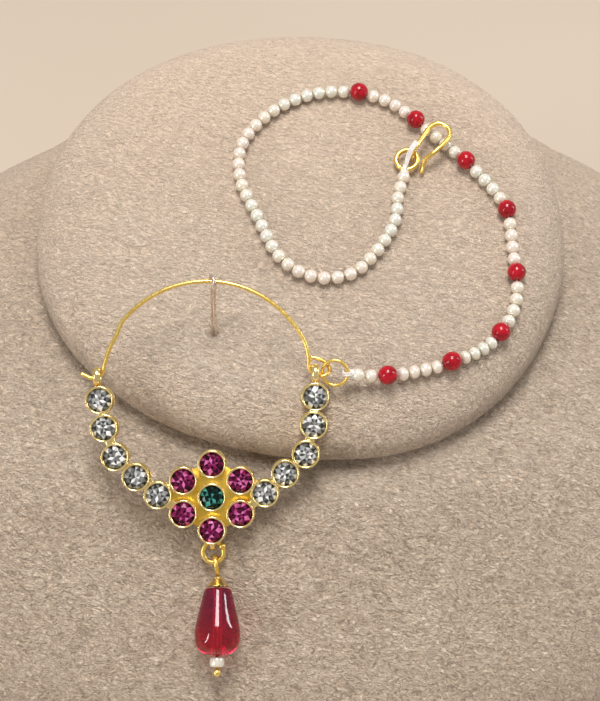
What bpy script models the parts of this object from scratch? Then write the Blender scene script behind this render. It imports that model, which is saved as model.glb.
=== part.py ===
# Nath nose ring with its bead string, pinned to a plain velvet neck bust.
# Sizes are millimetres; every mesh is scaled to metres when it is made.
# World frame: +Z up, the front of the bust looks along -Y, the origin is the middle of the base.
import bpy
import bmesh
from math import cos, pi, radians, sin, sqrt
from mathutils import Matrix, Vector

MM = 0.001
GAP = 0.3

# Neck bust
BUST_HALF_WIDTH = 105.0
BUST_HALF_DEPTH = 85.5
BUST_SIDES = 36
PAD_CENTRE_Y = 14.9
PAD_CENTRE_Z = 118.6
PAD_TILT = 14.0
PAD_HALF_WIDTH = 58.2
PAD_HALF_DEPTH = 53.8
PAD_FRONT_SHIFT = 8.0
PAD_FRONT_TRIM = 0.18
PAD_THICKNESS = 12.0
PAD_EDGE_DROP = 9.0
PAD_FLAT_SHARE = 0.78
PAD_ROUNDNESS = 2.2
PAD_SIDES = 40
# How far round the pad's upper edge each row of points lies, from its flat top to its side
PAD_RIM_STEPS = (0.0, 0.35, 0.6, 0.8, 0.94, 1.0)
PAD_SIDE_DROP = 1.65
PAD_SIDE_SHARE = 0.997
PAD_FOOT_SHARE = 0.975
NECK_SHARE = 0.965
BUST_ROUNDNESS = 2.35
# Each row: front, back and side reach as shares of the bust's half sizes,
# and the height of its front and back as shares of the pad's height.
BUST_SECTIONS = [
    (0.510, 0.780, 0.760, 0.765, 0.905),
    (0.620, 0.860, 0.890, 0.695, 0.820),
    (0.765, 0.950, 0.935, 0.607, 0.690),
    (0.880, 0.985, 0.975, 0.520, 0.570),
    (0.965, 1.000, 1.000, 0.390, 0.410),
    (1.000, 1.000, 1.000, 0.220, 0.225),
    (0.985, 0.985, 0.985, 0.000, 0.000),
]

# Nose ring, in its own flat frame: x to the right, y up the ring, z out of its face
RING_X = -18.7
RING_Y = -28.8
RING_Z = 110.7
RING_LEAN = 42.0
RING_RADIUS = 21.9
HOOP_WIRE = 0.84
WIRE_SIDES = 6
HOOP_START_DEG = 26.0
HOOP_END_DEG = 142.0
HOOP_STEPS = 18
# The hoop's closed end as places from the right eyelet, and its free end from the left one
HOOP_CLOSED_END = [
    (-0.80, 3.25, -1.15), (0.50, 3.00, -1.05), (1.35, 2.65, -1.00), (2.25, 2.05, -0.90),
    (2.88, 0.85, -0.38), (2.35, -0.10, 0.50), (1.45, -0.52, 0.76), (0.75, -0.28, 0.36),
    (0.00, 0.00, 0.10), (-0.85, 0.35, 0.00), (-1.35, 1.50, 0.00), (-1.38, 3.30, 0.00),
]
HOOP_FREE_END = [
    (3.90, 8.29, 0.00), (2.89, 6.49, 0.00), (2.11, 4.48, 0.00), (1.50, 2.47, 0.00),
    (1.30, 1.27, 0.00), (1.00, 0.45, 0.00), (0.40, 0.00, 0.00), (-0.45, -0.12, 0.00),
    (-1.10, -0.40, 0.00), (-3.00, 0.50, 0.00),
]

# Bezel cups and stones
CUP_SIDES = 16
CUP_RADIUS = 2.82
CUP_WALL = 0.2
CUP_BORE = CUP_RADIUS - CUP_WALL
CUP_LIP_DEPTH = 0.25
CUP_LIP_BEVEL = 0.06
CUP_TOP = 1.1
CUP_BOTTOM = -1.7
CUP_FLOOR = -0.9
STONE_CLEARANCE = 0.32
STONE_RADIUS = CUP_BORE - STONE_CLEARANCE
STONE_TABLE_SHARE = 0.58
STONE_GIRDLE = 0.5
STONE_CROWN = 0.72
STONE_PAVILION = 1.05
STONE_FACETS = 8
FLOWER_X = 1.0
FLOWER_Y = -21.5
FLOWER_SPACE = 1.01
FLOWER_PITCH = 2 * CUP_RADIUS + FLOWER_SPACE
# Angle round the ring and distance as a share of its radius, top cup first
LEFT_CUPS = [(185.3, 0.990), (200.3, 1.006), (216.1, 1.043), (230.8, 1.030), (245.0, 1.063)]
RIGHT_CUPS = [(-3.5, 0.997), (-18.1, 1.032), (-32.9, 1.081), (-46.8, 1.050), (-60.6, 1.084)]
BAR_WIDTH = 2.6
BAR_TOP = -1.05
BAR_BOTTOM = -1.6
PLATE_SHARE = 1.0
PLATE_SIDES = 12

# Eyelets soldered to the setting
EYELET_RADIUS = 1.45
EYELET_WIRE = 0.9
LEFT_EYELET_SHIFT = -0.5
LEFT_EYELET_Y = 2.75
RIGHT_EYELET_Y = 3.35
BAIL_Z = -2.6
EYELET_STEPS = 12
POST_RADIUS = 0.5
POST_Z = -0.4
SOLDER_SINK = 0.1
RING_STEPS = 16

# Jump rings and the hanging drop
DROP_RING_RADIUS = 2.1
DROP_RING_WIRE = 0.92
DROP_EYE_RADIUS = 1.7
DROP_EYE_SHIFT = -0.4
DROP_EYE_TIP = 10.0
DROP_WIRE = 0.9
DROP_LEAN = 12.0
DROP_RING_SHIFT = 0.12
DROP_SHIFT = 1.1
RING_PLAY = 0.4
STEM_RADIUS = 0.35
STEM_SIDES = 8
CAP_LENGTH = 2.1
CAP_RADIUS = 2.35
CAP_SIDES = 12
EYE_STEPS = 14
BEAD_LENGTH = 13.3
BEAD_RADIUS = 4.6
BEAD_SIDES = 16
DROP_PEARL_RADIUS = 1.5
DROP_PEARL_LENGTH = 2.0
DROP_PEARL_SIDES = 12
BALL_RADIUS = 0.78
# Rows of points down the ball, as shares of its radius
BALL_STEPS = (-0.89, -0.45, 0.15, 0.7, 0.97)
# Distance down each piece and its radius there, as shares of its length and greatest radius
CAP_PROFILE = [(0.0, 0.46), (0.45, 0.72), (1.0, 1.0)]
BEAD_PROFILE = [
    (0.000, 0.50), (0.035, 0.60), (0.220, 0.735), (0.415, 0.87), (0.600, 0.985),
    (0.710, 1.00), (0.820, 0.96), (0.910, 0.83), (0.975, 0.58),
]
PEARL_PROFILE = [(0.0, 0.62), (0.2, 0.91), (0.5, 1.0), (0.8, 0.91), (1.0, 0.62)]

# Bead string, its rings and the hook, in the pad's frame: x across, y up the pad, z off the pad
STRING_RING_RADIUS = 2.6
STRING_RING_WIRE = 0.72
STRING_RING_LEAN = -16.0
STRING_RING_TURN = -28.4
STRING_RING_OUT = 3.93
STRING_RING_DOWN = -0.12
OPEN_RING_STEPS = 18
WHITE_RADIUS = 1.42
RED_RADIUS = 2.0
NECK_RADIUS = 0.42
KNOT_RADIUS = 0.38
KNOT_SIDES = 8
BELLY_SHARE = 0.6
END_SHARE = 0.9
ROUTE_STEPS = 8
STRING_SIDES = 10
FIRST_HALF = 38
# Places of the red beads along the route, and the white beads before, between and after them
RED_LENGTHS = [6.1, 19.9, 32.8, 47.7, 63.4, 78.7, 94.0, 109.0]
WHITES_BEFORE = 2
WHITES_BETWEEN = 4
WHITES_AFTER = 38
START_LIFT = 2.3
LIFT_LENGTH = 14.0
LIFT_POWER = 1.5
THREAD_RADIUS = 0.22
THREAD_LOOP_RADIUS = 1.08
THREAD_LOOP_STEPS = 12
THREAD_ANGLE = 28.4
STRING_ROUTE = [
    (11.65, -41.5), (17.6, -41.1), (22.5, -39.8), (31.2, -37.2), (40.0, -31.9), (45.2, -22.5),
    (45.2, -10.5), (44.1, 0.9), (37.2, 11.3), (28.0, 21.0), (20.5, 28.2), (12.0, 31.2),
    (2.8, 30.7), (-6.1, 26.0), (-12.6, 17.5), (-13.0, 7.7), (-8.9, -2.5), (-4.4, -12.1),
    (2.5, -17.0), (10.5, -16.5), (16.0, -11.1), (20.2, -3.7), (21.3, 3.5), (22.6, 8.2),
]
END_RING_X = 23.44
END_RING_Y = 12.5
END_RING_Z = 2.15
END_RING_RADIUS = 2.35
END_RING_WIRE = 1.1
END_RING_LEAN = 12.0
END_RING_TURN = 51.0
HOOK_WIRE = 1.1
HOOK_STEPS = 2
HOOK_ROUTE = [
    (26.6, 9.8, 1.30), (26.95, 11.2, 1.80), (27.6, 12.3, 2.70), (29.3, 13.3, 3.75),
    (31.55, 15.4, 4.05), (32.9, 17.8, 4.05), (32.5, 19.8, 4.05), (30.6, 20.9, 4.05),
    (28.7, 19.9, 4.05), (27.3, 17.8, 4.05), (26.0, 15.6, 4.10), (25.15, 14.3, 4.15),
    (24.3, 13.1, 3.80), (23.9, 12.6, 2.70), (24.2, 13.1, 1.50), (24.9, 14.2, 1.20),
]

# Pin that holds the hoop on the bust
PIN_WIRE = 0.4
PIN_LEG_SPACING = 0.68
PIN_LEG_TURN = 78.0
PIN_EYE_WIRE = 0.7
PIN_EYE_RADIUS = 1.45
PIN_EYE_DROP = 0.35
PIN_EYE_SWEEP = 260.0
PIN_EYE_STEPS = 10
PIN_NECK = 0.9
PIN_HOOP_DEG = 87.0
PIN_FOOT_X = -17.8
PIN_FOOT_Y = -29.6
PIN_DEPTH = 5.0
PIN_TURN = 20.0
PIN_HOLE_RADIUS = 1.0
PIN_HOLE_SIDES = 8

for old in list(bpy.data.objects):
    bpy.data.objects.remove(old, do_unlink=True)


def material(name, colour, roughness, metallic, transmission=0.0):
    made = bpy.data.materials.new(name)
    made.use_nodes = True
    made.diffuse_color = (*colour, 1.0)
    shader = made.node_tree.nodes["Principled BSDF"]
    shader.inputs["Base Color"].default_value = (*colour, 1.0)
    shader.inputs["Roughness"].default_value = roughness
    shader.inputs["Metallic"].default_value = metallic
    shader.inputs["Transmission Weight"].default_value = transmission
    return made


def empty(name, location, lean, parent=None):
    made = bpy.data.objects.new(name, None)
    made.location = Vector(location) * MM
    made.rotation_euler = (radians(lean), 0.0, 0.0)
    made.parent = parent
    bpy.context.scene.collection.objects.link(made)
    return made


def solid(name, shape, paint, parent=None, location=(0.0, 0.0, 0.0), smooth=True):
    """One closed mesh from points in millimetres and faces, its normals turned outwards."""
    points, faces = shape
    mesh = bpy.data.meshes.new(name)
    mesh.from_pydata([tuple(Vector(p) * MM) for p in points], [], faces)
    work = bmesh.new()
    work.from_mesh(mesh)
    bmesh.ops.recalc_face_normals(work, faces=work.faces)
    for face in work.faces:
        face.smooth = smooth
    work.to_mesh(mesh)
    work.free()
    mesh.materials.append(paint)
    made = bpy.data.objects.new(name, mesh)
    made.location = Vector(location) * MM
    made.parent = parent
    bpy.context.scene.collection.objects.link(made)
    return made


def combine(base, others, operation="UNION"):
    """Joins others to base, or cuts them from it, and leaves one mesh."""
    for other in others:
        step = base.modifiers.new(operation.lower(), "BOOLEAN")
        step.operation = operation
        step.solver = "EXACT"
        step.object = other
        bpy.context.view_layer.update()
        graph = bpy.context.evaluated_depsgraph_get()
        joined = bpy.data.meshes.new_from_object(base.evaluated_get(graph))
        base.modifiers.remove(step)
        base.data = joined
        bpy.data.objects.remove(other, do_unlink=True)
    return base


def loft(rings, closed=False):
    """Skin over equal rings of points, with flat ends or, when closed, joined end to end."""
    sides = len(rings[0])
    points = [p for ring in rings for p in ring]
    faces = []
    count = len(rings)
    spans = count if closed else count - 1
    for i in range(spans):
        low = i * sides
        high = ((i + 1) % count) * sides
        for j in range(sides):
            k = (j + 1) % sides
            faces.append((low + j, low + k, high + k, high + j))
    if not closed:
        faces.append(tuple(range(sides)))
        faces.append(tuple(range((count - 1) * sides, count * sides)))
    return points, faces


def turned(profile, sides, closed=False, axis="Z"):
    """Solid of revolution from (radius, height) pairs."""
    rings = []
    for radius, height in profile:
        ring = []
        for j in range(sides):
            angle = 2 * pi * (j + 0.5) / sides
            across, along = radius * cos(angle), radius * sin(angle)
            ring.append((across, along, height) if axis == "Z" else (across, -height, along))
        rings.append(ring)
    return loft(rings, closed)


def tube(path, radii, sides, closed=False):
    """Round wire along a path; radii is one radius or one for each point."""
    path = [Vector(p) for p in path]
    count = len(path)
    if not isinstance(radii, (list, tuple)):
        radii = [radii] * count
    tangents = []
    for i in range(count):
        before = path[i - 1] if closed or i > 0 else path[i]
        after = path[(i + 1) % count] if closed or i < count - 1 else path[i]
        tangents.append((after - before).normalized())
    guide = Vector((0.0, 0.0, 1.0))
    if abs(tangents[0].dot(guide)) > 0.9:
        guide = Vector((0.0, 1.0, 0.0))
    side = tangents[0].cross(guide).normalized()
    rings = []
    for i in range(count):
        if i > 0:
            side = tangents[i - 1].rotation_difference(tangents[i]) @ side
        up = tangents[i].cross(side).normalized()
        ring = []
        for j in range(sides):
            angle = 2 * pi * j / sides
            ring.append(path[i] + radii[i] * (cos(angle) * side + sin(angle) * up))
        rings.append(ring)
    return loft(rings, closed)


def circle(centre, radius, first, second, steps=RING_STEPS):
    """Points of a circle in the plane of two unit directions."""
    centre, first, second = Vector(centre), Vector(first), Vector(second)
    path = []
    for i in range(steps):
        angle = 2 * pi * i / steps
        path.append(centre + radius * (cos(angle) * first + sin(angle) * second))
    return path


def smooth_route(points, steps):
    """Points along a curve that passes through every given point."""
    points = [Vector(p) for p in points]
    ends = [2 * points[0] - points[1]] + points + [2 * points[-1] - points[-2]]
    route = []
    for i in range(1, len(ends) - 2):
        a, b, c, d = ends[i - 1:i + 3]
        for k in range(steps):
            t = k / steps
            route.append(0.5 * (2 * b + (c - a) * t + (2 * a - 5 * b + 4 * c - d) * t * t
                                + (3 * b - a - 3 * c + d) * t * t * t))
    return route + [points[-1]]


def at_length(route, length):
    """Point and direction at a given length along a route."""
    for a, b in zip(route, route[1:]):
        span = (b - a).length
        if length <= span:
            break
        length -= span
    return a + (b - a) * (length / span), (b - a).normalized()


def pad_side(x, y):
    """Sideways place of a point of the oval, with the pad's front drawn right and its corner trimmed."""
    forward = min(y / PAD_HALF_DEPTH, 0.0) ** 2
    trim = PAD_FRONT_TRIM * forward if x > 0 else 0.0
    return x * (1.0 - trim) + PAD_FRONT_SHIFT * forward


def oval_point(half_width, half_depth, angle, roundness=PAD_ROUNDNESS):
    power = 2.0 / roundness
    across = abs(cos(angle)) ** power * (1 if cos(angle) >= 0 else -1)
    along = abs(sin(angle)) ** power * (1 if sin(angle) >= 0 else -1)
    return half_width * across, half_depth * along


def pad_level(x, y):
    """Height of the pad's surface at a place in its own frame."""
    forward = min(y / PAD_HALF_DEPTH, 0.0) ** 2
    aside = x - PAD_FRONT_SHIFT * forward
    if aside > 0:
        aside /= 1.0 - PAD_FRONT_TRIM * forward
    across = abs(aside / PAD_HALF_WIDTH) ** PAD_ROUNDNESS
    along = abs(y / PAD_HALF_DEPTH) ** PAD_ROUNDNESS
    share = (across + along) ** (1.0 / PAD_ROUNDNESS)
    past_flat = min(max((share - PAD_FLAT_SHARE) / (1.0 - PAD_FLAT_SHARE), 0.0), 1.0)
    return -PAD_EDGE_DROP * (1.0 - sqrt(1.0 - past_flat ** 2))


velvet = material("beige_velvet", (0.64, 0.50, 0.39), 0.95, 0.0)
seam_velvet = material("beige_velvet_pad", (0.67, 0.53, 0.42), 0.95, 0.0)
gold = material("yellow_gold_plate", (0.93, 0.66, 0.20), 0.22, 1.0)
wire_gold = material("yellow_gold_wire", (0.95, 0.70, 0.24), 0.18, 1.0)
steel = material("coppery_silver_wire", (0.62, 0.50, 0.43), 0.30, 1.0)
clear_glass = material("clear_glass", (0.92, 0.95, 0.98), 0.03, 0.0, 0.8)
ruby_glass = material("magenta_glass", (0.62, 0.01, 0.22), 0.04, 0.0, 0.5)
green_glass = material("green_glass", (0.0, 0.14, 0.07), 0.04, 0.0, 0.5)
cherry_glass = material("cherry_glass", (0.60, 0.0, 0.04), 0.05, 0.0, 0.6)
pearl_white = material("pearl_white", (0.90, 0.86, 0.78), 0.25, 0.0)

pad_frame = empty("pad_frame", (0.0, PAD_CENTRE_Y, PAD_CENTRE_Z), PAD_TILT)
ring_frame = empty("ring_frame", (RING_X, RING_Y, RING_Z), RING_LEAN)
bpy.context.view_layer.update()
PAD_FROM_RING = pad_frame.matrix_world.inverted() @ ring_frame.matrix_world


def ring_to_pad(point):
    return PAD_FROM_RING @ (Vector(point) * MM) / MM


def pin_line():
    """Where the pin holds the hoop, where it enters the pad, and its direction."""
    angle = radians(PIN_HOOP_DEG)
    top = ring_to_pad((RING_RADIUS * cos(angle), RING_RADIUS * sin(angle), 0.0))
    surface = Vector((PIN_FOOT_X, PIN_FOOT_Y, 0.0))
    return top, surface, (top - surface).normalized()


def build_bust():
    tilt = radians(PAD_TILT)
    rings = []
    neck_top = PAD_THICKNESS + GAP
    neck = []
    for j in range(BUST_SIDES):
        x, y = oval_point(NECK_SHARE * PAD_HALF_WIDTH, NECK_SHARE * PAD_HALF_DEPTH,
                          2 * pi * j / BUST_SIDES)
        neck.append((pad_side(x, y), PAD_CENTRE_Y + y * cos(tilt) + neck_top * sin(tilt),
                     PAD_CENTRE_Z + y * sin(tilt) - neck_top * cos(tilt)))
    rings.append(neck)
    for front, back, side, front_height, back_height in BUST_SECTIONS:
        middle = (back - front) * BUST_HALF_DEPTH / 2
        reach = (back + front) * BUST_HALF_DEPTH / 2
        height = (front_height + back_height) * PAD_CENTRE_Z / 2
        rise = (back_height - front_height) * PAD_CENTRE_Z / 2
        ring = []
        for j in range(BUST_SIDES):
            x, y = oval_point(side * BUST_HALF_WIDTH, 1.0, 2 * pi * j / BUST_SIDES, BUST_ROUNDNESS)
            ring.append((x, middle + reach * y, height + rise * y))
        rings.append(ring)
    solid("bust_body", loft(rings), velvet)


def build_pad():
    rings = []
    for past_flat in PAD_RIM_STEPS:
        share = PAD_FLAT_SHARE + (1.0 - PAD_FLAT_SHARE) * past_flat
        level = -PAD_EDGE_DROP * (1.0 - sqrt(1.0 - past_flat ** 2))
        rings.append((share, level))
    rings.append((PAD_SIDE_SHARE, -PAD_EDGE_DROP - PAD_SIDE_DROP))
    rings.append((PAD_FOOT_SHARE, -PAD_THICKNESS))
    outline = []
    for share, level in rings:
        ring = []
        for j in range(PAD_SIDES):
            x, y = oval_point(share * PAD_HALF_WIDTH, share * PAD_HALF_DEPTH,
                              2 * pi * j / PAD_SIDES)
            ring.append((pad_side(x, y), y, level))
        outline.append(ring)
    pad = solid("top_pad", loft(outline), seam_velvet, pad_frame)
    top, surface, upward = pin_line()
    hole = [surface - upward * (PIN_DEPTH + PIN_HOLE_RADIUS), surface + upward * PIN_HOLE_RADIUS]
    drill = solid("pin_hole", tube(hole, PIN_HOLE_RADIUS, PIN_HOLE_SIDES), seam_velvet, pad_frame)
    combine(pad, [drill], "DIFFERENCE")


def cup_centres():
    clear = []
    for angle, share in LEFT_CUPS + RIGHT_CUPS:
        reach = RING_RADIUS * share
        clear.append(Vector((reach * cos(radians(angle)), reach * sin(radians(angle)), 0.0)))
    rubies = []
    for k in range(6):
        angle = radians(90 - 60 * k)
        rubies.append(Vector((FLOWER_X + FLOWER_PITCH * cos(angle),
                              FLOWER_Y + FLOWER_PITCH * sin(angle), 0.0)))
    return clear, rubies, Vector((FLOWER_X, FLOWER_Y, 0.0))


def bar(start, end):
    """Flat solder bar between two cup floors."""
    along = (end - start).normalized()
    across = Vector((-along.y, along.x, 0.0)) * BAR_WIDTH / 2
    points = []
    for height in (BAR_BOTTOM, BAR_TOP):
        for corner in (start - across, end - across, end + across, start + across):
            points.append((corner.x, corner.y, height))
    faces = [(0, 1, 2, 3), (4, 5, 6, 7), (0, 1, 5, 4), (1, 2, 6, 5), (2, 3, 7, 6), (3, 0, 4, 7)]
    return points, faces


def build_setting(clear, rubies, green):
    profile = [(CUP_RADIUS, CUP_BOTTOM), (CUP_RADIUS, CUP_TOP - CUP_LIP_DEPTH),
               (CUP_RADIUS - CUP_LIP_BEVEL, CUP_TOP), (CUP_BORE, CUP_TOP), (CUP_BORE, CUP_FLOOR)]
    cup = turned(profile, CUP_SIDES)
    left, right = clear[:5], clear[5:]
    parts = []
    for chain, inner in ((left, (rubies[5], rubies[4])), (right, (rubies[1], rubies[2]))):
        for start, end in zip(chain, chain[1:]):
            parts.append(solid("bar", bar(start, end), gold, ring_frame))
        for end in inner:
            parts.append(solid("bar", bar(chain[-1], end), gold, ring_frame))
    plate_radius = FLOWER_PITCH * PLATE_SHARE
    plate = turned([(plate_radius, BAR_BOTTOM), (plate_radius, BAR_TOP)], PLATE_SIDES)
    parts.append(solid("plate", plate, gold, ring_frame, green))
    for centre in clear + rubies + [green]:
        parts.append(solid("cup", cup, gold, ring_frame, centre))
    for top_cup, shift, height in ((left[0], LEFT_EYELET_SHIFT, LEFT_EYELET_Y),
                                   (right[0], 0.0, RIGHT_EYELET_Y)):
        across = top_cup.x + shift
        path = circle((across, height, 0.0), EYELET_RADIUS, (0, 1, 0), (0, 0, 1), EYELET_STEPS)
        parts.append(solid("eyelet", tube(path, EYELET_WIRE / 2, WIRE_SIDES, True), gold, ring_frame))
        foot = Vector((across, top_cup.y + CUP_RADIUS - SOLDER_SINK, POST_Z))
        head = Vector((across, height - EYELET_RADIUS + SOLDER_SINK, POST_Z))
        post = tube([foot, head], POST_RADIUS, WIRE_SIDES)
        parts.append(solid("post", post, gold, ring_frame))
    bottom = rubies[3]
    middle = (bottom.x, bottom.y - CUP_BORE, BAIL_Z)
    path = circle(middle, EYELET_RADIUS, (0, 1, 0), (0, 0, 1), EYELET_STEPS)
    parts.append(solid("bail", tube(path, EYELET_WIRE / 2, WIRE_SIDES, True), gold, ring_frame))
    setting = combine(parts[0], parts[1:])
    setting.name = "setting"


def stone_shape():
    """Round cut stone: eight-sided table, crown facets, girdle and pavilion."""
    table = STONE_RADIUS * STONE_TABLE_SHARE
    points = []
    for j in range(STONE_FACETS):
        angle = 2 * pi * j / STONE_FACETS
        points.append((table * cos(angle), table * sin(angle), STONE_GIRDLE + STONE_CROWN))
    for j in range(2 * STONE_FACETS):
        angle = pi * j / STONE_FACETS
        points.append((STONE_RADIUS * cos(angle), STONE_RADIUS * sin(angle), STONE_GIRDLE))
    points.append((0.0, 0.0, STONE_GIRDLE - STONE_PAVILION))
    culet = len(points) - 1
    faces = [tuple(range(STONE_FACETS))]
    for j in range(STONE_FACETS):
        here, following = j, (j + 1) % STONE_FACETS
        low = STONE_FACETS + 2 * j
        half = low + 1
        full = STONE_FACETS + (2 * j + 2) % (2 * STONE_FACETS)
        before = STONE_FACETS + (2 * j - 1) % (2 * STONE_FACETS)
        faces.append((here, half, following))
        faces.append((here, low, half))
        faces.append((here, before, low))
        faces.append((low, half, culet))
        faces.append((half, full, culet))
    return points, faces


def build_stones(clear, rubies, green):
    shape = stone_shape()
    for k, centre in enumerate(clear):
        side = "left" if k < 5 else "right"
        solid(f"clear_stone_{side}_{k % 5 + 1}", shape, clear_glass, ring_frame, centre, False)
    for k, centre in enumerate(rubies):
        solid(f"ruby_stone_{k + 1}", shape, ruby_glass, ring_frame, centre, False)
    solid("green_stone", shape, green_glass, ring_frame, green, False)


def build_hoop(left_x, right_x):
    """Thin wire hoop: through the right eyelet with an end loop, round, and through the left."""
    path = [(right_x + x, RIGHT_EYELET_Y + y, z) for x, y, z in HOOP_CLOSED_END]
    for i in range(HOOP_STEPS + 1):
        angle = radians(HOOP_START_DEG + (HOOP_END_DEG - HOOP_START_DEG) * i / HOOP_STEPS)
        path.append((RING_RADIUS * cos(angle), RING_RADIUS * sin(angle), 0.0))
    path += [(left_x + x, LEFT_EYELET_Y + y, z) for x, y, z in HOOP_FREE_END]
    solid("hoop_wire", tube(path, HOOP_WIRE / 2, WIRE_SIDES), wire_gold, ring_frame)


def build_drop(bottom_cup):
    ring_y = bottom_cup.y - CUP_BORE - DROP_RING_RADIUS
    ring_x = bottom_cup.x + DROP_RING_SHIFT
    path = circle((ring_x, ring_y, BAIL_Z), DROP_RING_RADIUS, (1, 0, 0), (0, 1, 0))
    solid("drop_jump_ring", tube(path, DROP_RING_WIRE / 2, WIRE_SIDES, True), wire_gold, ring_frame)
    hang = ring_y - DROP_RING_RADIUS + DROP_RING_WIRE / 2 + RING_PLAY
    eye_y = hang - DROP_EYE_RADIUS + DROP_WIRE / 2
    frame = empty("drop_frame", (bottom_cup.x + DROP_SHIFT, eye_y, BAIL_Z), -DROP_LEAN, ring_frame)
    eye_bottom = DROP_EYE_RADIUS + DROP_WIRE / 2
    cap_top = eye_bottom + GAP
    bead_top = cap_top + CAP_LENGTH + GAP
    pearl_top = bead_top + BEAD_LENGTH + GAP
    ball_top = pearl_top + DROP_PEARL_LENGTH + GAP
    bore = STEM_RADIUS + GAP

    tip = radians(DROP_EYE_TIP)
    upright = (-sin(tip), cos(tip), 0)
    path = circle((DROP_EYE_SHIFT, 0, 0), DROP_EYE_RADIUS, upright, (0, 0, 1), EYE_STEPS)
    eye = solid("drop_pin", tube(path, DROP_WIRE / 2, WIRE_SIDES, True), wire_gold, frame)
    ball_middle = ball_top + BALL_RADIUS
    profile = [(STEM_RADIUS, DROP_EYE_RADIUS)]
    for share in BALL_STEPS:
        profile.append((BALL_RADIUS * sqrt(1 - share * share), ball_middle + BALL_RADIUS * share))
    stem = solid("stem", turned(profile, STEM_SIDES, axis="Y"), wire_gold, frame)
    combine(eye, [stem])

    for name, shape, top, length, radius, sides, paint in (
            ("drop_cap", CAP_PROFILE, cap_top, CAP_LENGTH, CAP_RADIUS, CAP_SIDES, gold),
            ("teardrop_bead", BEAD_PROFILE, bead_top, BEAD_LENGTH, BEAD_RADIUS, BEAD_SIDES,
             cherry_glass),
            ("drop_pearl", PEARL_PROFILE, pearl_top, DROP_PEARL_LENGTH, DROP_PEARL_RADIUS,
             DROP_PEARL_SIDES, pearl_white)):
        profile = [(bore, top)]
        profile += [(radius * share, top + length * along) for along, share in shape]
        profile.append((bore, top + length))
        solid(name, turned(profile, sides, True, "Y"), paint, frame)


def string_ring_frame(right_x):
    """Middle and two directions of the leaning jump ring between hoop and string."""
    lean = radians(STRING_RING_LEAN)
    turn = radians(STRING_RING_TURN)
    centre = Vector((right_x + STRING_RING_OUT, RIGHT_EYELET_Y - STRING_RING_DOWN, 0.0))
    across = Vector((cos(turn), sin(turn), 0.0))
    up = Vector((-sin(turn), cos(turn), 0.0))
    tipped = up * cos(lean) + Vector((0, 0, -1)) * sin(lean)
    return centre, across, tipped


def bead_stops(total):
    """Length along the route, half length and radius of each bead; whites fill the spaces evenly."""
    def whites(start, step, count):
        return [(start + step * k, step / 2, WHITE_RADIUS) for k in range(count)]

    step = (RED_LENGTHS[0] - RED_RADIUS) / (WHITES_BEFORE - 0.5)
    stops = whites(0.0, step, WHITES_BEFORE)
    for red, following in zip(RED_LENGTHS, RED_LENGTHS[1:] + [None]):
        stops.append((red, RED_RADIUS, RED_RADIUS))
        if following:
            step = (following - red - 2 * RED_RADIUS) / WHITES_BETWEEN
            stops += whites(red + RED_RADIUS + step / 2, step, WHITES_BETWEEN)
    step = (total - RED_LENGTHS[-1] - RED_RADIUS) / (WHITES_AFTER - 0.5)
    return stops + whites(RED_LENGTHS[-1] + RED_RADIUS + step / 2, step, WHITES_AFTER)


def string_beads():
    """Centre, direction, half length and radius of each bead, all in the pad's frame."""
    flat = smooth_route([(x, y, 0.0) for x, y in STRING_ROUTE], ROUTE_STEPS)
    total = sum((b - a).length for a, b in zip(flat, flat[1:]))
    beads = []
    for length, half, radius in bead_stops(total):
        place, heading = at_length(flat, length)
        lift = START_LIFT * max(1.0 - length / LIFT_LENGTH, 0.0) ** LIFT_POWER
        height = pad_level(place.x, place.y) + radius + GAP + lift
        beads.append((Vector((place.x, place.y, height)), heading, half, radius))
    return beads


def bead_tube(beads):
    """Beads fused on their thread: one wire that swells at each bead."""
    path = []
    radii = []
    for i, (centre, heading, half, radius) in enumerate(beads):
        reach = BELLY_SHARE * half
        waist = radius * sqrt(1 - BELLY_SHARE ** 2)
        if i == 0:
            path.append(centre - heading * half * END_SHARE)
            radii.append(NECK_RADIUS)
        path += [centre - heading * reach, centre, centre + heading * reach]
        radii += [waist, radius, waist]
        if i < len(beads) - 1:
            after, after_heading, after_half, _ = beads[i + 1]
            path.append((centre + heading * half + after - after_heading * after_half) / 2)
        else:
            path.append(centre + heading * half * END_SHARE)
        radii.append(NECK_RADIUS)
    return tube(path, radii, STRING_SIDES)


def thread_loop(name, wire_point, wire_heading, bead):
    """Small loop of thread round a ring's wire, and the knot that joins it to a bead."""
    towards = bead - wire_point
    towards = (towards - wire_heading * towards.dot(wire_heading)).normalized()
    up = towards.cross(wire_heading)
    path = circle(wire_point, THREAD_LOOP_RADIUS, towards, up, THREAD_LOOP_STEPS)
    loop = solid(name, tube(path, THREAD_RADIUS, WIRE_SIDES, True), pearl_white, pad_frame)
    knot_path = [wire_point + towards * THREAD_LOOP_RADIUS, bead]
    knot = solid("knot", tube(knot_path, KNOT_RADIUS, KNOT_SIDES), pearl_white, pad_frame)
    return [knot, loop]


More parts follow.
